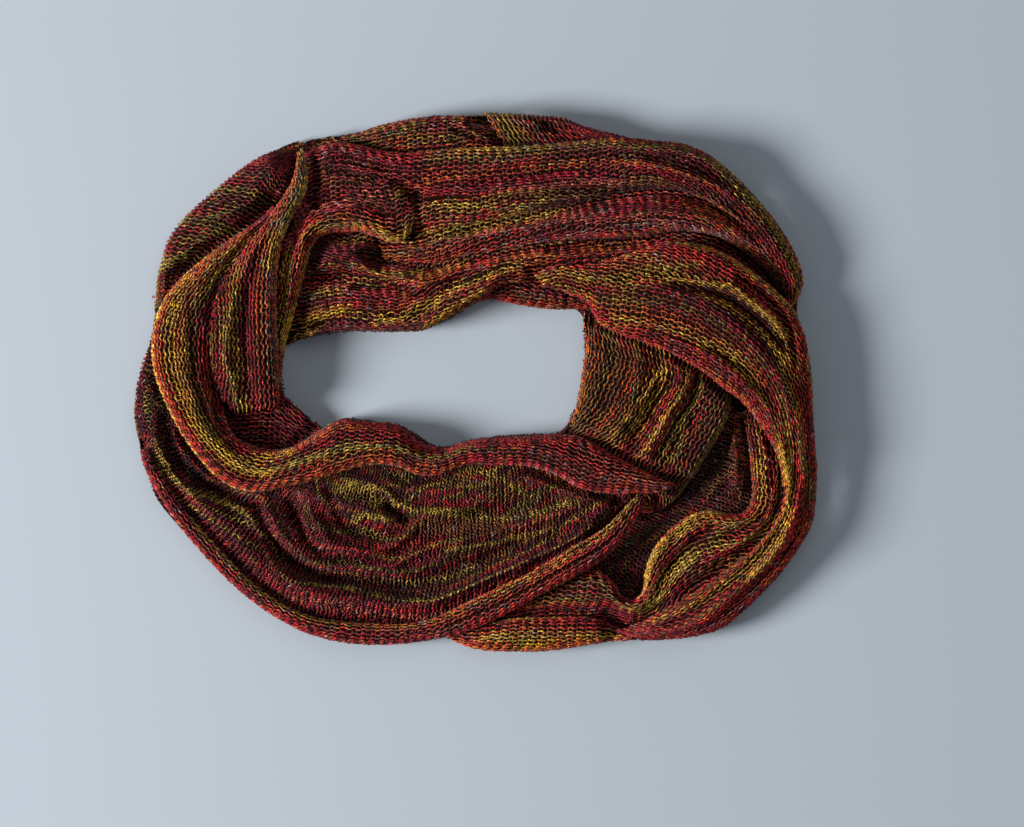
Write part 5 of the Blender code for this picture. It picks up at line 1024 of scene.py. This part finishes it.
def row_colours(stretch, numbers, along, travelled, centre, seed):
    """Colour of the yarn along every row: arrays are rows by places, lengths in mm."""
    places, codes = chart_codes(stretch["chart"], numbers, stretch["from"])
    row, level = np.arange(len(numbers))[:, None], numbers[:, None] * ROW_PITCH
    swap = SWAP_DEPTH * smooth_noise(travelled, level, SWAP_LENGTH, ROW_PITCH, seed)
    after = np.clip(np.searchsorted(places, along), 1, len(places) - 1)
    t = np.clip((along - places[after - 1]) / (places[after] - places[after - 1]), 0, 1)
    blend = np.clip((t - 0.5 - swap) / CHANGE_WIDTH + 0.5, 0, 1)[..., None]
    was, becomes = codes[after - 1, row], codes[after, row]
    base, fleck = (palette[was] * (1 - blend) + palette[becomes] * blend
                   for palette in (YARN_BASE, YARN_FLECK))
    for letter, half_width, _, _, *line in stretch["lines"]:
        if letter:
            distance, share = line_places(plan_points(line), centre[..., 0], centre[..., 1])
            fade = np.minimum(share, 1 - share) / STREAK_FADE + STREAK_START + STREAK_SWAP * swap
            near = np.clip((half_width - distance) / STREAK_SOFT + 0.5, 0, 1)
            near = (near * np.clip(fade, 0, 1))[..., None]
            code = LETTERS.index(letter)
            base = base + (YARN_BASE[code] - base) * near
            fleck = fleck + (YARN_FLECK[code] - fleck) * near
    mottle = smooth_noise(travelled, level, FLECK_LENGTH, MOTTLE_HEIGHT, seed + 2)
    mix = np.clip((FLECK_SHARE - mottle) / FLECK_SOFT + 0.5, 0, 1)[..., None]
    colour = base * (1 - mix) + fleck * mix
    odd = smooth_noise(travelled, level, ACCENT_LENGTH, MOTTLE_HEIGHT, seed + 7)
    for place, accent in ACCENTS:
        share = np.clip(1.0 - np.abs(odd - place) / ACCENT_WIDTH, 0, 1) * ACCENT_MIX
        colour = colour + (np.array(accent) - colour) * share[..., None]
    shade = 1.0
    for depth, long, high, step in SHADES:
        shade = shade * (1.0 + depth * smooth_noise(travelled, level, long, high, seed + step))
    return colour * shade[..., None]


def thread_skin(path, above, beside, radius, sides):
    """Points round the places of a thread, from its two ways across."""
    angles = 2 * np.pi * np.arange(sides) / sides
    return path[..., None, :] + radius * (np.cos(angles)[:, None] * above[..., None, :]
                                          + np.sin(angles)[:, None] * beside[..., None, :])


def thread_faces(here, sides):
    """Quads from the ring round each numbered place of a thread to the next."""
    side = np.arange(sides)
    corner = here[..., None] * sides + side
    turned = here[..., None] * sides + (side + 1) % sides
    return np.stack([corner, turned, turned + sides, corner + sides], axis=-1).reshape(-1, 4)


def thread_uvs(stitch_ids, detail):
    """For each stitch a tile to bake on, and the twist of the ply, which runs on along the row."""
    shape = (len(stitch_ids), detail, THREAD_SIDES, 4)
    ahead = (np.arange(detail)[:, None, None] + np.array([0, 0, 1, 1])) / detail + np.zeros(shape)
    around = (np.arange(THREAD_SIDES)[:, None] + np.array([0, 1, 1, 0])) / THREAD_SIDES
    around = around + np.zeros(shape)
    tiles = math.ceil(math.sqrt(len(stitch_ids)))
    number = np.arange(len(stitch_ids))
    tile = np.stack([number % tiles, number // tiles], axis=1)[:, None, None, None, :]
    bake = tile + BAKE_MARGIN + (1 - 2 * BAKE_MARGIN) * np.stack([ahead, around], axis=-1)
    twist = np.stack([ahead + stitch_ids[:, None, None, None], around], axis=-1)
    return {"OFBake": (bake / tiles).reshape(-1, 2), "twist": twist.reshape(-1, 2)}


def yarn_piece(name, points, starts, cover, stretch, seed, material, upright=True,
               detail=THREAD_POINTS):
    """Rows of knitted loops over the face of a stretch, as one thread mesh."""
    arcs, stops = arc_grid(points, starts, stretch)
    normals = grid_normals(points, upright)
    surface = resample(arcs, stops, np.concatenate([points, normals], axis=2))
    first_arc, last_arc = arcs[:, 0], arcs[:, -1]
    middle = surface[:, np.argmin(np.abs(stops - np.median((first_arc + last_arc) / 2))), 0:3]
    travel = travel_along(middle if stretch["turned"] else middle[:, 0:2])
    purl = stretch["face"] == "purl"
    stitch, pitch, lean, rise = PURL_LOOP if purl else KNIT_LOOP
    stitches = int(travel[-1] / stitch)
    numbers = np.arange(math.ceil(first_arc.min() / pitch), math.floor(last_arc.max() / pitch) + 1)

    # Each loop leans, rises and swings a little in its own way.
    rng = np.random.default_rng(seed)
    own = (len(numbers), stitches + 1)
    lean = lean * (1 + LOOP_VARIETY[0] * rng.uniform(-1, 1, own))
    rise = rise * (1 + LOOP_VARIETY[1] * rng.uniform(-1, 1, own))
    drift = LOOP_DRIFT * rng.uniform(-1, 1, own)
    depth = LOOP_DEPTH * (1 + LOOP_VARIETY[2] * rng.uniform(-1, 1, own))
    count = stitches * detail + 1
    t = np.arange(count) / detail
    phase = t - np.floor(t)
    which = np.minimum(np.round(t).astype(int), stitches)
    lean, rise, drift, depth = (x[:, which] for x in (lean, rise, drift, depth))
    level = numbers[:, None] * pitch
    wander, slip = (reach * smooth_noise(t * stitch, level, long, high, seed + step)
                    for (reach, long, high), step in ((ROW_WANDER, 9), (ROW_SLIP, 13)))
    along = (t + lean * np.sin(4 * np.pi * phase)
             + drift * np.abs(np.cos(np.pi * phase)) ** 0.5 + slip)
    level = level + wander
    across = level - rise * np.cos(2 * np.pi * phase)
    front = 0.5 + (0.5 if purl else -0.5) * np.cos(4 * np.pi * phase)

    # The thread's path on the surface, in front of it and behind it by turns.
    travelled = np.clip(along * travel[-1] / stitches, 0, travel[-1])
    u = np.interp(travelled, travel, np.arange(len(travel)))
    first_at, last_at = (np.interp(u, np.arange(len(edge)), edge)
                         for edge in (first_arc, last_arc))
    inside = (across > first_at - SELVEDGE) & (across < last_at + SELVEDGE)
    across = np.clip(across, first_at, last_at)
    found, centre = (sample(surface, u, (place - stops[0]) / ARC_STEP)
                     for place in (across, np.clip(level, first_at, last_at)))
    normal = unit(found[..., 3:6])
    out = depth * (2 * front - 1) - LOOP_DEPTH - YARN_RADIUS
    path = found[..., 0:3] + normal * out[..., None]
    inside &= path[..., 2] > LOWEST_THREAD
    hidden = cover.covered[cover.cells(path[..., 0], path[..., 1])]
    per = np.arange(stitches)[:, None] * detail + np.arange(detail + 1)
    row_ids, stitch_ids = np.nonzero(inside[:, per].all(2) & ~hidden[:, per].all(2))

    tangent = unit(np.gradient(path, axis=1))
    beside = unit(np.cross(tangent, normal))
    change, long = THICKNESS_CHANGE
    thick = YARN_RADIUS * (1 + change * smooth_noise(travelled, across, long, long, seed + 5))
    skin = thread_skin(path, np.cross(beside, tangent), beside, thick[..., None, None],
                       THREAD_SIDES)
    colours = row_colours(stretch, numbers, travelled / travel[-1], travelled, centre, seed + 20)
    # Painted shade: the thread's colour darkens where it runs behind the cloth.
    colours *= (PAINTED_SHADE_BEHIND + (1 - PAINTED_SHADE_BEHIND) * front ** FRONT_SHARPNESS)[:, None]
    colours *= (1 + STITCH_VARIETY * rng.uniform(-1, 1, own))[:, which][..., None]
    colours = np.repeat(colours.reshape(-1, 3), THREAD_SIDES, axis=0)
    here = row_ids[:, None] * count + stitch_ids[:, None] * detail + np.arange(detail)
    used, quads = np.unique(thread_faces(here, THREAD_SIDES), return_inverse=True)
    return new_mesh_object(name, skin.reshape(-1, 3)[used], quads.reshape(-1, 4), colours[used],
                           thread_uvs(stitch_ids, detail), material)


def cloth_piece(name, points, stretch, material):
    """The thin backing of a stretch, a closed wall under its loops, and its flat size."""
    picks = np.ix_(*(np.unique(np.r_[0:size:step, size - 1])
                     for size, step in zip(points.shape, BACKING_STEPS)))
    normals = grid_normals(points)
    top, low = ((points - normals * depth)[picks]
                for depth in (BACKING_DEPTH, BACKING_DEPTH + BACKING_WALL))
    for face, lowest in zip((top, low), LOWEST_BACKING):
        face[..., 2] = np.maximum(face[..., 2], lowest)
    index = np.arange(top[..., 0].size).reshape(top.shape[0:2])
    under = index.size
    quads = np.stack([index[:-1, :-1], index[1:, :-1], index[1:, 1:], index[:-1, 1:]],
                     axis=2).reshape(-1, 4)
    rim = np.concatenate([index[0, :], index[1:, -1], index[-1, -2::-1], index[-2:0:-1, 0]])
    following = np.roll(rim, -1)
    edge = np.stack([rim, following, following + under, rim + under], axis=1)
    along, across = top[1, 0] - top[0, 0], top[0, -1] - top[0, 0]
    if along[0] * across[1] - along[1] * across[0] < 0:
        quads, edge = quads[:, ::-1], edge[:, ::-1]
    vertices = np.concatenate([top.reshape(-1, 3), low.reshape(-1, 3)])
    letters = "".join(letters for _, letters in stretch["chart"]).replace("|", "")
    mean = YARN_BASE[[LETTERS.index(letter) for letter in letters]].mean(0)
    # Painted shade: the backing takes the mean yarn colour, darkened nearly to black.
    colours = np.tile(mean * BACKING_PAINTED_SHADE, (len(vertices), 1))
    cloth = new_mesh_object(name, vertices, np.concatenate([quads, quads[:, ::-1] + under, edge]),
                            colours, {}, material)
    return cloth, flat_size(top)


def flat_size(points):
    """Flat size of a stretch in metres, (width, length), and its flat area in square metres."""
    along, across = np.diff(points, axis=0), np.diff(points, axis=1)
    length = np.linalg.norm(along, axis=2).sum(0).max()
    width = np.linalg.norm(across, axis=2).sum(1).max()
    area = np.linalg.norm(np.cross(along[:, :-1], across[:-1]), axis=2).sum()
    return (width * MM, length * MM), min(area, width * length) * MM ** 2


def set_inputs(tree, node, inputs):
    """Give a shader node's inputs their values, or link them to an output."""
    for name, value in inputs.items():
        if isinstance(value, bpy.types.NodeSocket):
            tree.links.new(value, node.inputs[name])
        else:
            node.inputs[name].default_value = value


def shader_node(tree, kind, inputs, **settings):
    """A new shader node, given as its outputs."""
    node = tree.nodes.new("ShaderNode" + kind)
    for name, value in settings.items():
        setattr(node, name, value)
    set_inputs(tree, node, inputs)
    return node.outputs


def new_material(name, inputs):
    """A Principled BSDF material and its node tree."""
    material = bpy.data.materials.new(name)
    material.use_nodes = True
    tree = material.node_tree
    set_inputs(tree, tree.nodes["Principled BSDF"], inputs)
    return material, tree


def spread_range(tree, value, low, high, darkest, lightest, **settings):
    """A value between low and high as a shade between the darkest and the lightest."""
    return shader_node(tree, "MapRange", {
        "Value": value, "From Min": low, "From Max": high, "To Min": darkest,
        "To Max": lightest}, **settings)["Result"]


def scaled(tree, colour, scale):
    """A colour made darker or lighter."""
    return shader_node(tree, "VectorMath", {0: colour, "Scale": scale},
                       operation="SCALE")["Vector"]


def mottled_colour(tree, scale, detail, darkest, lightest):
    """The mesh's own colour with a fine mottle, and the noise that makes it."""
    colour = shader_node(tree, "Attribute", {}, attribute_name="yarn_colour")["Color"]
    place = shader_node(tree, "TexCoord", {})["Object"]
    noise = shader_node(tree, "TexNoise", {"Vector": place, "Scale": scale, "Detail": detail})["Fac"]
    spread = spread_range(tree, noise, *MOTTLE_RANGE, darkest, lightest)
    return scaled(tree, colour, spread), noise


def bump(tree, height, strength, distance, **inputs):
    """Normals that a height gives."""
    return shader_node(tree, "Bump", {"Strength": strength, "Distance": distance,
                                      "Height": height, **inputs})["Normal"]


def yarn_material():
    """Two-ply wool: the row's own colour, fine fibre mottle, soft sheen and a twisted ply."""
    material, tree = new_material("wool_yarn", {
        "Roughness": 0.72, "Sheen Weight": 0.10, "Sheen Roughness": 0.45,
        "Specular IOR Level": 0.30})
    shade, fibre = mottled_colour(tree, scale=1500.0, detail=3.0, darkest=0.55, lightest=1.45)
    twist = shader_node(tree, "UVMap", {}, uv_map="twist")["UV"]
    ply = shader_node(tree, "SeparateXYZ", {"Vector": twist})
    turn = shader_node(tree, "Math", {0: ply["X"], 1: PLY_TURNS, 2: ply["Y"]},
                       operation="MULTIPLY_ADD")["Value"]
    angle = shader_node(tree, "Math", {0: turn, 1: 2 * math.pi}, operation="MULTIPLY")["Value"]
    wave = shader_node(tree, "Math", {0: angle}, operation="SINE")["Value"]
    dark_ply = spread_range(tree, wave, *PLY_RANGE, DARK_PLY, 1.0, interpolation_type="SMOOTHSTEP")
    twisted = bump(tree, wave, strength=0.5, distance=0.00012)
    set_inputs(tree, tree.nodes["Principled BSDF"], {
        "Base Color": scaled(tree, shade, dark_ply),
        "Normal": bump(tree, fibre, strength=0.4, distance=0.0001, Normal=twisted)})
    return material


def backing_material():
    """The inner side of the knit, seen only between the loops; its near-black mesh colour is painted
    shade.
    """
    material, tree = new_material("wool_backing", {
        "Roughness": 0.95, "Specular IOR Level": 0.1})
    shade, grain = mottled_colour(tree, scale=700.0, detail=2.0, darkest=0.4, lightest=1.5)
    set_inputs(tree, tree.nodes["Principled BSDF"], {
        "Base Color": shade, "Normal": bump(tree, grain, strength=0.8, distance=0.0006)})
    return material


def cloth_stretch(name, sections, folds, bulge, chart, reference="first", face="purl",
                  turned=False, ripple=0.5, ends=5.0, sinks=0.0):
    """One stretch of cloth: its form from the tables, and how its rows and colours run.

    Its ends turn down by so many millimetres, and what hangs lower than the height at which it
    sinks in doesn't press the cloth under it."""
    return {"name": name, "sections": sections, "folds": folds, "bulge": bulge, "chart": chart,
            "from": reference, "face": face, "turned": turned, "ripple": ripple,
            "ends": ends, "sinks": sinks,
            "guide": GUIDES.get(name), "lines": LINES.get(name, [])}


STRETCHES = [
    cloth_stretch("left_panel", LEFT_PANEL, PANEL_FOLDS, 1.5, PANEL_ROWS, "second", ripple=0.7,
                  ends=1.5),
    cloth_stretch("long_sweep", LONG_SWEEP, SWEEP_FOLDS, 3.0, SWEEP_ROWS, sinks=14.0),
    cloth_stretch("curled_rib", CURLED_RIB, CURL_FOLDS, 2.0, CURL_ROWS, "second", ends=2.0),
    cloth_stretch("right_band", RIGHT_BAND, RIGHT_FOLDS, 2.5, RIGHT_ROWS, "second", ripple=0.8,
                  ends=1.5),
    cloth_stretch("top_outer_band", TOP_OUTER_BAND, OUTER_FOLDS, 2.0, OUTER_ROWS, ripple=0.9,
                  ends=1.0),
    cloth_stretch("top_middle_band", TOP_MIDDLE_BAND, MIDDLE_FOLDS, 2.0, MIDDLE_ROWS, ripple=0.8,
                  ends=1.0),
    cloth_stretch("top_inner_band", TOP_INNER_BAND, INNER_FOLDS, 1.0, INNER_ROWS, ripple=0.8),
    cloth_stretch("inner_top_tuck", INNER_TOP_TUCK, [], 1.0, TUCK_TOP_ROWS),
    cloth_stretch("left_shoulder", LEFT_SHOULDER, SHOULDER_FOLDS, 2.0, SHOULDER_ROWS, turned=True),
    cloth_stretch("turned_fold", TURNED_FOLD, TURNED_FOLDS, 1.5, TURNED_ROWS, turned=True),
    cloth_stretch("top_rim_fold", TOP_RIM_FOLD, RIM_FOLDS, 1.5, RIM_ROWS),
    cloth_stretch("rolled_rim", ROLLED_RIM, ROLL_FOLDS, 1.5, ROLLED_ROWS, "second", sinks=13.0),
    cloth_stretch("right_inner_panel", RIGHT_INNER_PANEL, FAN_FOLDS, 3.0, FAN_ROWS, "second",
                  ripple=0.7),
    cloth_stretch("bottom_lip", BOTTOM_LIP, LIP_FOLDS, 1.5, LIP_ROWS, "second", ends=2.0),
    cloth_stretch("pocket_fold", POCKET_FOLD, POCKET_FOLDS, 2.0, POCKET_ROWS, "second"),
    cloth_stretch("recess", RECESS, RECESS_FOLDS, 0.0, RECESS_ROWS, face="knit"),
    cloth_stretch("knit_face", KNIT_FACE, FACE_FOLDS, 2.0, FACE_ROWS, face="knit", ends=1.0),
    cloth_stretch("left_tuck", LEFT_TUCK, TUCK_FOLDS, 0.5, LEFT_TUCK_ROWS),
]


def layered_profile(height):
    """Side of the folded layers from the floor up: (inset, height) of its points."""
    shares = [step / SIDE_STEPS for step in range(SIDE_STEPS + 1)]
    waves = [abs(math.sin(share * EDGE_LAYERS * math.pi)) for share in shares]
    return [(LAYER_GROOVE * (1 - wave ** GROOVE_ROUNDING), height * share)
            for wave, share in zip(waves, shares)]


def ring_section(outer, inner, pressing):
    """Points round one section of the hidden layers, from the floor outside to that inside."""
    width = np.linalg.norm(inner - outer)
    way = (inner - outer) / width
    sides = []
    for edge, inward in ((outer, way), (inner, -way)):
        spots = np.array([edge + inward * (RIM_INSET + reach) for reach in SIDE_SPOTS])
        top = pressing.limits(spots[:, 0], spots[:, 1]).min() - SIDE_CLEAR
        top = min(max(top, LEAST_SIDE), EDGE_LAYERS * LAYER_HEIGHT)
        sides.append(np.array([[*(edge + inward * (RIM_INSET + inset)), z]
                               for inset, z in layered_profile(top)]))
    start = RIM_INSET + LAYER_GROOVE
    shares = np.linspace(0, 1, RING_ACROSS + 2)[1:-1, None]
    spots = outer + way * (start + (width - 2 * start) * shares)
    limits = pressing.limits(spots[:, 0], spots[:, 1])
    tops = np.where(limits < PRESSED_BELOW, limits - SIDE_CLEAR, RING_FILL)
    middle = np.column_stack([spots, np.maximum(tops, LEAST_TOP)])
    return np.concatenate([sides[0], middle, sides[1][::-1]])


def hidden_layers(pressing, yarn, backing):
    """The ring of hidden folded layers under everything, with rows of knit where they show."""
    rows, _ = spline_rows(RING, RING_STEPS, closed=True)
    sections = np.array([ring_section(row[0:2], row[2:4], pressing) for row in rows])
    count, across = sections.shape[0:2]
    index = np.arange(count * across).reshape(count, across)
    following = np.roll(index, -1, axis=0)
    quads = np.stack([index, np.roll(index, -1, axis=1), np.roll(following, -1, axis=1),
                      following], axis=2).reshape(-1, 4)
    # Painted shade: the hidden layers' cloth is its dark red darkened.
    colours = np.tile(np.array(RING_COLOUR) * RING_PAINTED_SHADE, (count * across, 1))
    body = new_mesh_object("hidden_layers_cloth", sections.reshape(-1, 3), quads, colours, {},
                           backing)
    stretch = cloth_stretch("hidden_layers", RING, [], 0.0, RING_ROWS)
    piece = yarn_piece("hidden_layers_yarn", np.concatenate([sections, sections[:1]]),
                       (0, across - 1), pressing, stretch, RING_SEED, yarn, upright=False,
                       detail=RING_THREAD_POINTS)
    return body, piece


def stray_loops(material):
    """Loose thread loops that stand out a little round the outline."""
    rng = np.random.default_rng(STRAY_SEED)
    skins, colours = [], []
    for number, (x, y, height, reach) in enumerate(STRAY_LOOPS):
        outward = np.array([x, y, 0.0]) / math.hypot(x, y)
        beside = np.array([-outward[1], outward[0], 0.0])
        angle = np.linspace(*STRAY_TURN, STRAY_POINTS) + rng.uniform(-STRAY_SWING, STRAY_SWING)
        angle = np.radians(angle)[:, None]
        radius = reach * rng.uniform(*STRAY_SIZE)
        path = np.array([x, y, height]) + outward * (radius * 0.5)
        path = path + radius * (np.sin(-angle) * outward
                                + np.cos(angle) * rng.uniform(*STRAY_SQUASH) * beside)
        path[:, 2:3] += rng.uniform(-STRAY_LEAN, STRAY_LEAN) * np.cos(angle)
        tangent = unit(np.gradient(path, axis=0))
        up = unit(np.array([0.0, 0.0, 1.0]) - tangent * tangent[:, 2:3])
        skins.append(thread_skin(path, up, np.cross(up, tangent), STRAY_RADIUS, STRAY_SIDES))
        colours.append(YARN_BASE[LETTERS.index(STRAY_YARNS[number % len(STRAY_YARNS)])])
    here = np.arange(len(skins))[:, None] * STRAY_POINTS + np.arange(STRAY_POINTS - 1)
    colours = np.repeat(colours, STRAY_POINTS * STRAY_SIDES, axis=0)
    return new_mesh_object("stray_loops", np.array(skins).reshape(-1, 3),
                           thread_faces(here, STRAY_SIDES), colours, {}, material)


def declare(cloth, loops, node, flat, area, rests_on):
    """Hang a stretch's backing and loops on the root and hide the solid that they stand for."""
    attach(cloth, "root")
    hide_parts(node)
    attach(loops, "root")


def build_scarf():
    """Every stretch from the top one down, then the hidden layers and the stray loops."""
    yarn, backing = yarn_material(), backing_material()
    pressing = Pressing()
    for number, stretch in enumerate(STRETCHES):
        name = stretch["name"]
        seed = FIRST_SEED + SEED_STEP * number
        points, starts = strip_surface(stretch, pressing, seed)
        rows = points
        if stretch["turned"]:
            rows, starts = np.swapaxes(points, 0, 1), (0, len(points) - 1)
        piece = yarn_piece(name + "_yarn", rows, starts, pressing, stretch, seed, yarn)
        cloth, cut = cloth_piece(name + "_cloth", rows, stretch, backing)
        declare(cloth, piece, name, *cut, ["hidden_layers_cloth"])
        points[..., 2] = np.maximum(points[..., 2], stretch["sinks"])
        pressing.add(points)
    body, piece = hidden_layers(pressing, yarn, backing)
    declare(body, piece, "hidden_layers", RING_FLAT, None, ["floor"])
    strays = stray_loops(yarn)
    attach(strays, "root")


def floor_and_light():
    """A plain pale floor, soft studio light from the upper left and the camera overhead."""
    mesh = bpy.data.meshes.new("floor")
    corners = [(x * FLOOR_REACH, y * FLOOR_REACH, 0) for x, y in ((-1, -1), (1, -1), (1, 1), (-1, 1))]
    mesh.from_pydata(corners, [], [(0, 1, 2, 3)])
    floor = new_object("floor", mesh)
    paint, _ = new_material("pale_floor", {
        "Base Color": (*FLOOR_COLOUR, 1), "Roughness": 0.85, "Specular IOR Level": 0.12})
    mesh.materials.append(paint)
    for name, place, aim, size, power, tint in LIGHTS:
        light = bpy.data.lights.new(name, "AREA")
        light.shape = "DISK"
        light.size = size
        light.energy = power
        light.color = tint
        lamp = new_object(name, light)
        lamp.location = place
        lamp.rotation_euler = (Vector(aim) - Vector(place)).to_track_quat("-Z", "Y").to_euler()
    world = bpy.data.worlds.new("soft_room")
    world.use_nodes = True
    set_inputs(world.node_tree, world.node_tree.nodes["Background"], {
        "Color": (*ROOM_COLOUR, 1), "Strength": ROOM_LIGHT})
    scene = bpy.context.scene
    scene.world = world
    lens = bpy.data.cameras.new("camera")
    lens.lens = CAMERA_LENS
    lens.sensor_width = 36.0
    lens.clip_start = 0.05
    lens.clip_end = 20.0
    scene.camera = new_object("camera", lens)
    scene.camera.location = CAMERA_PLACE
    scene.view_settings.view_transform = "Standard"


build_scarf()
floor_and_light()
bpy.context.view_layer.update()
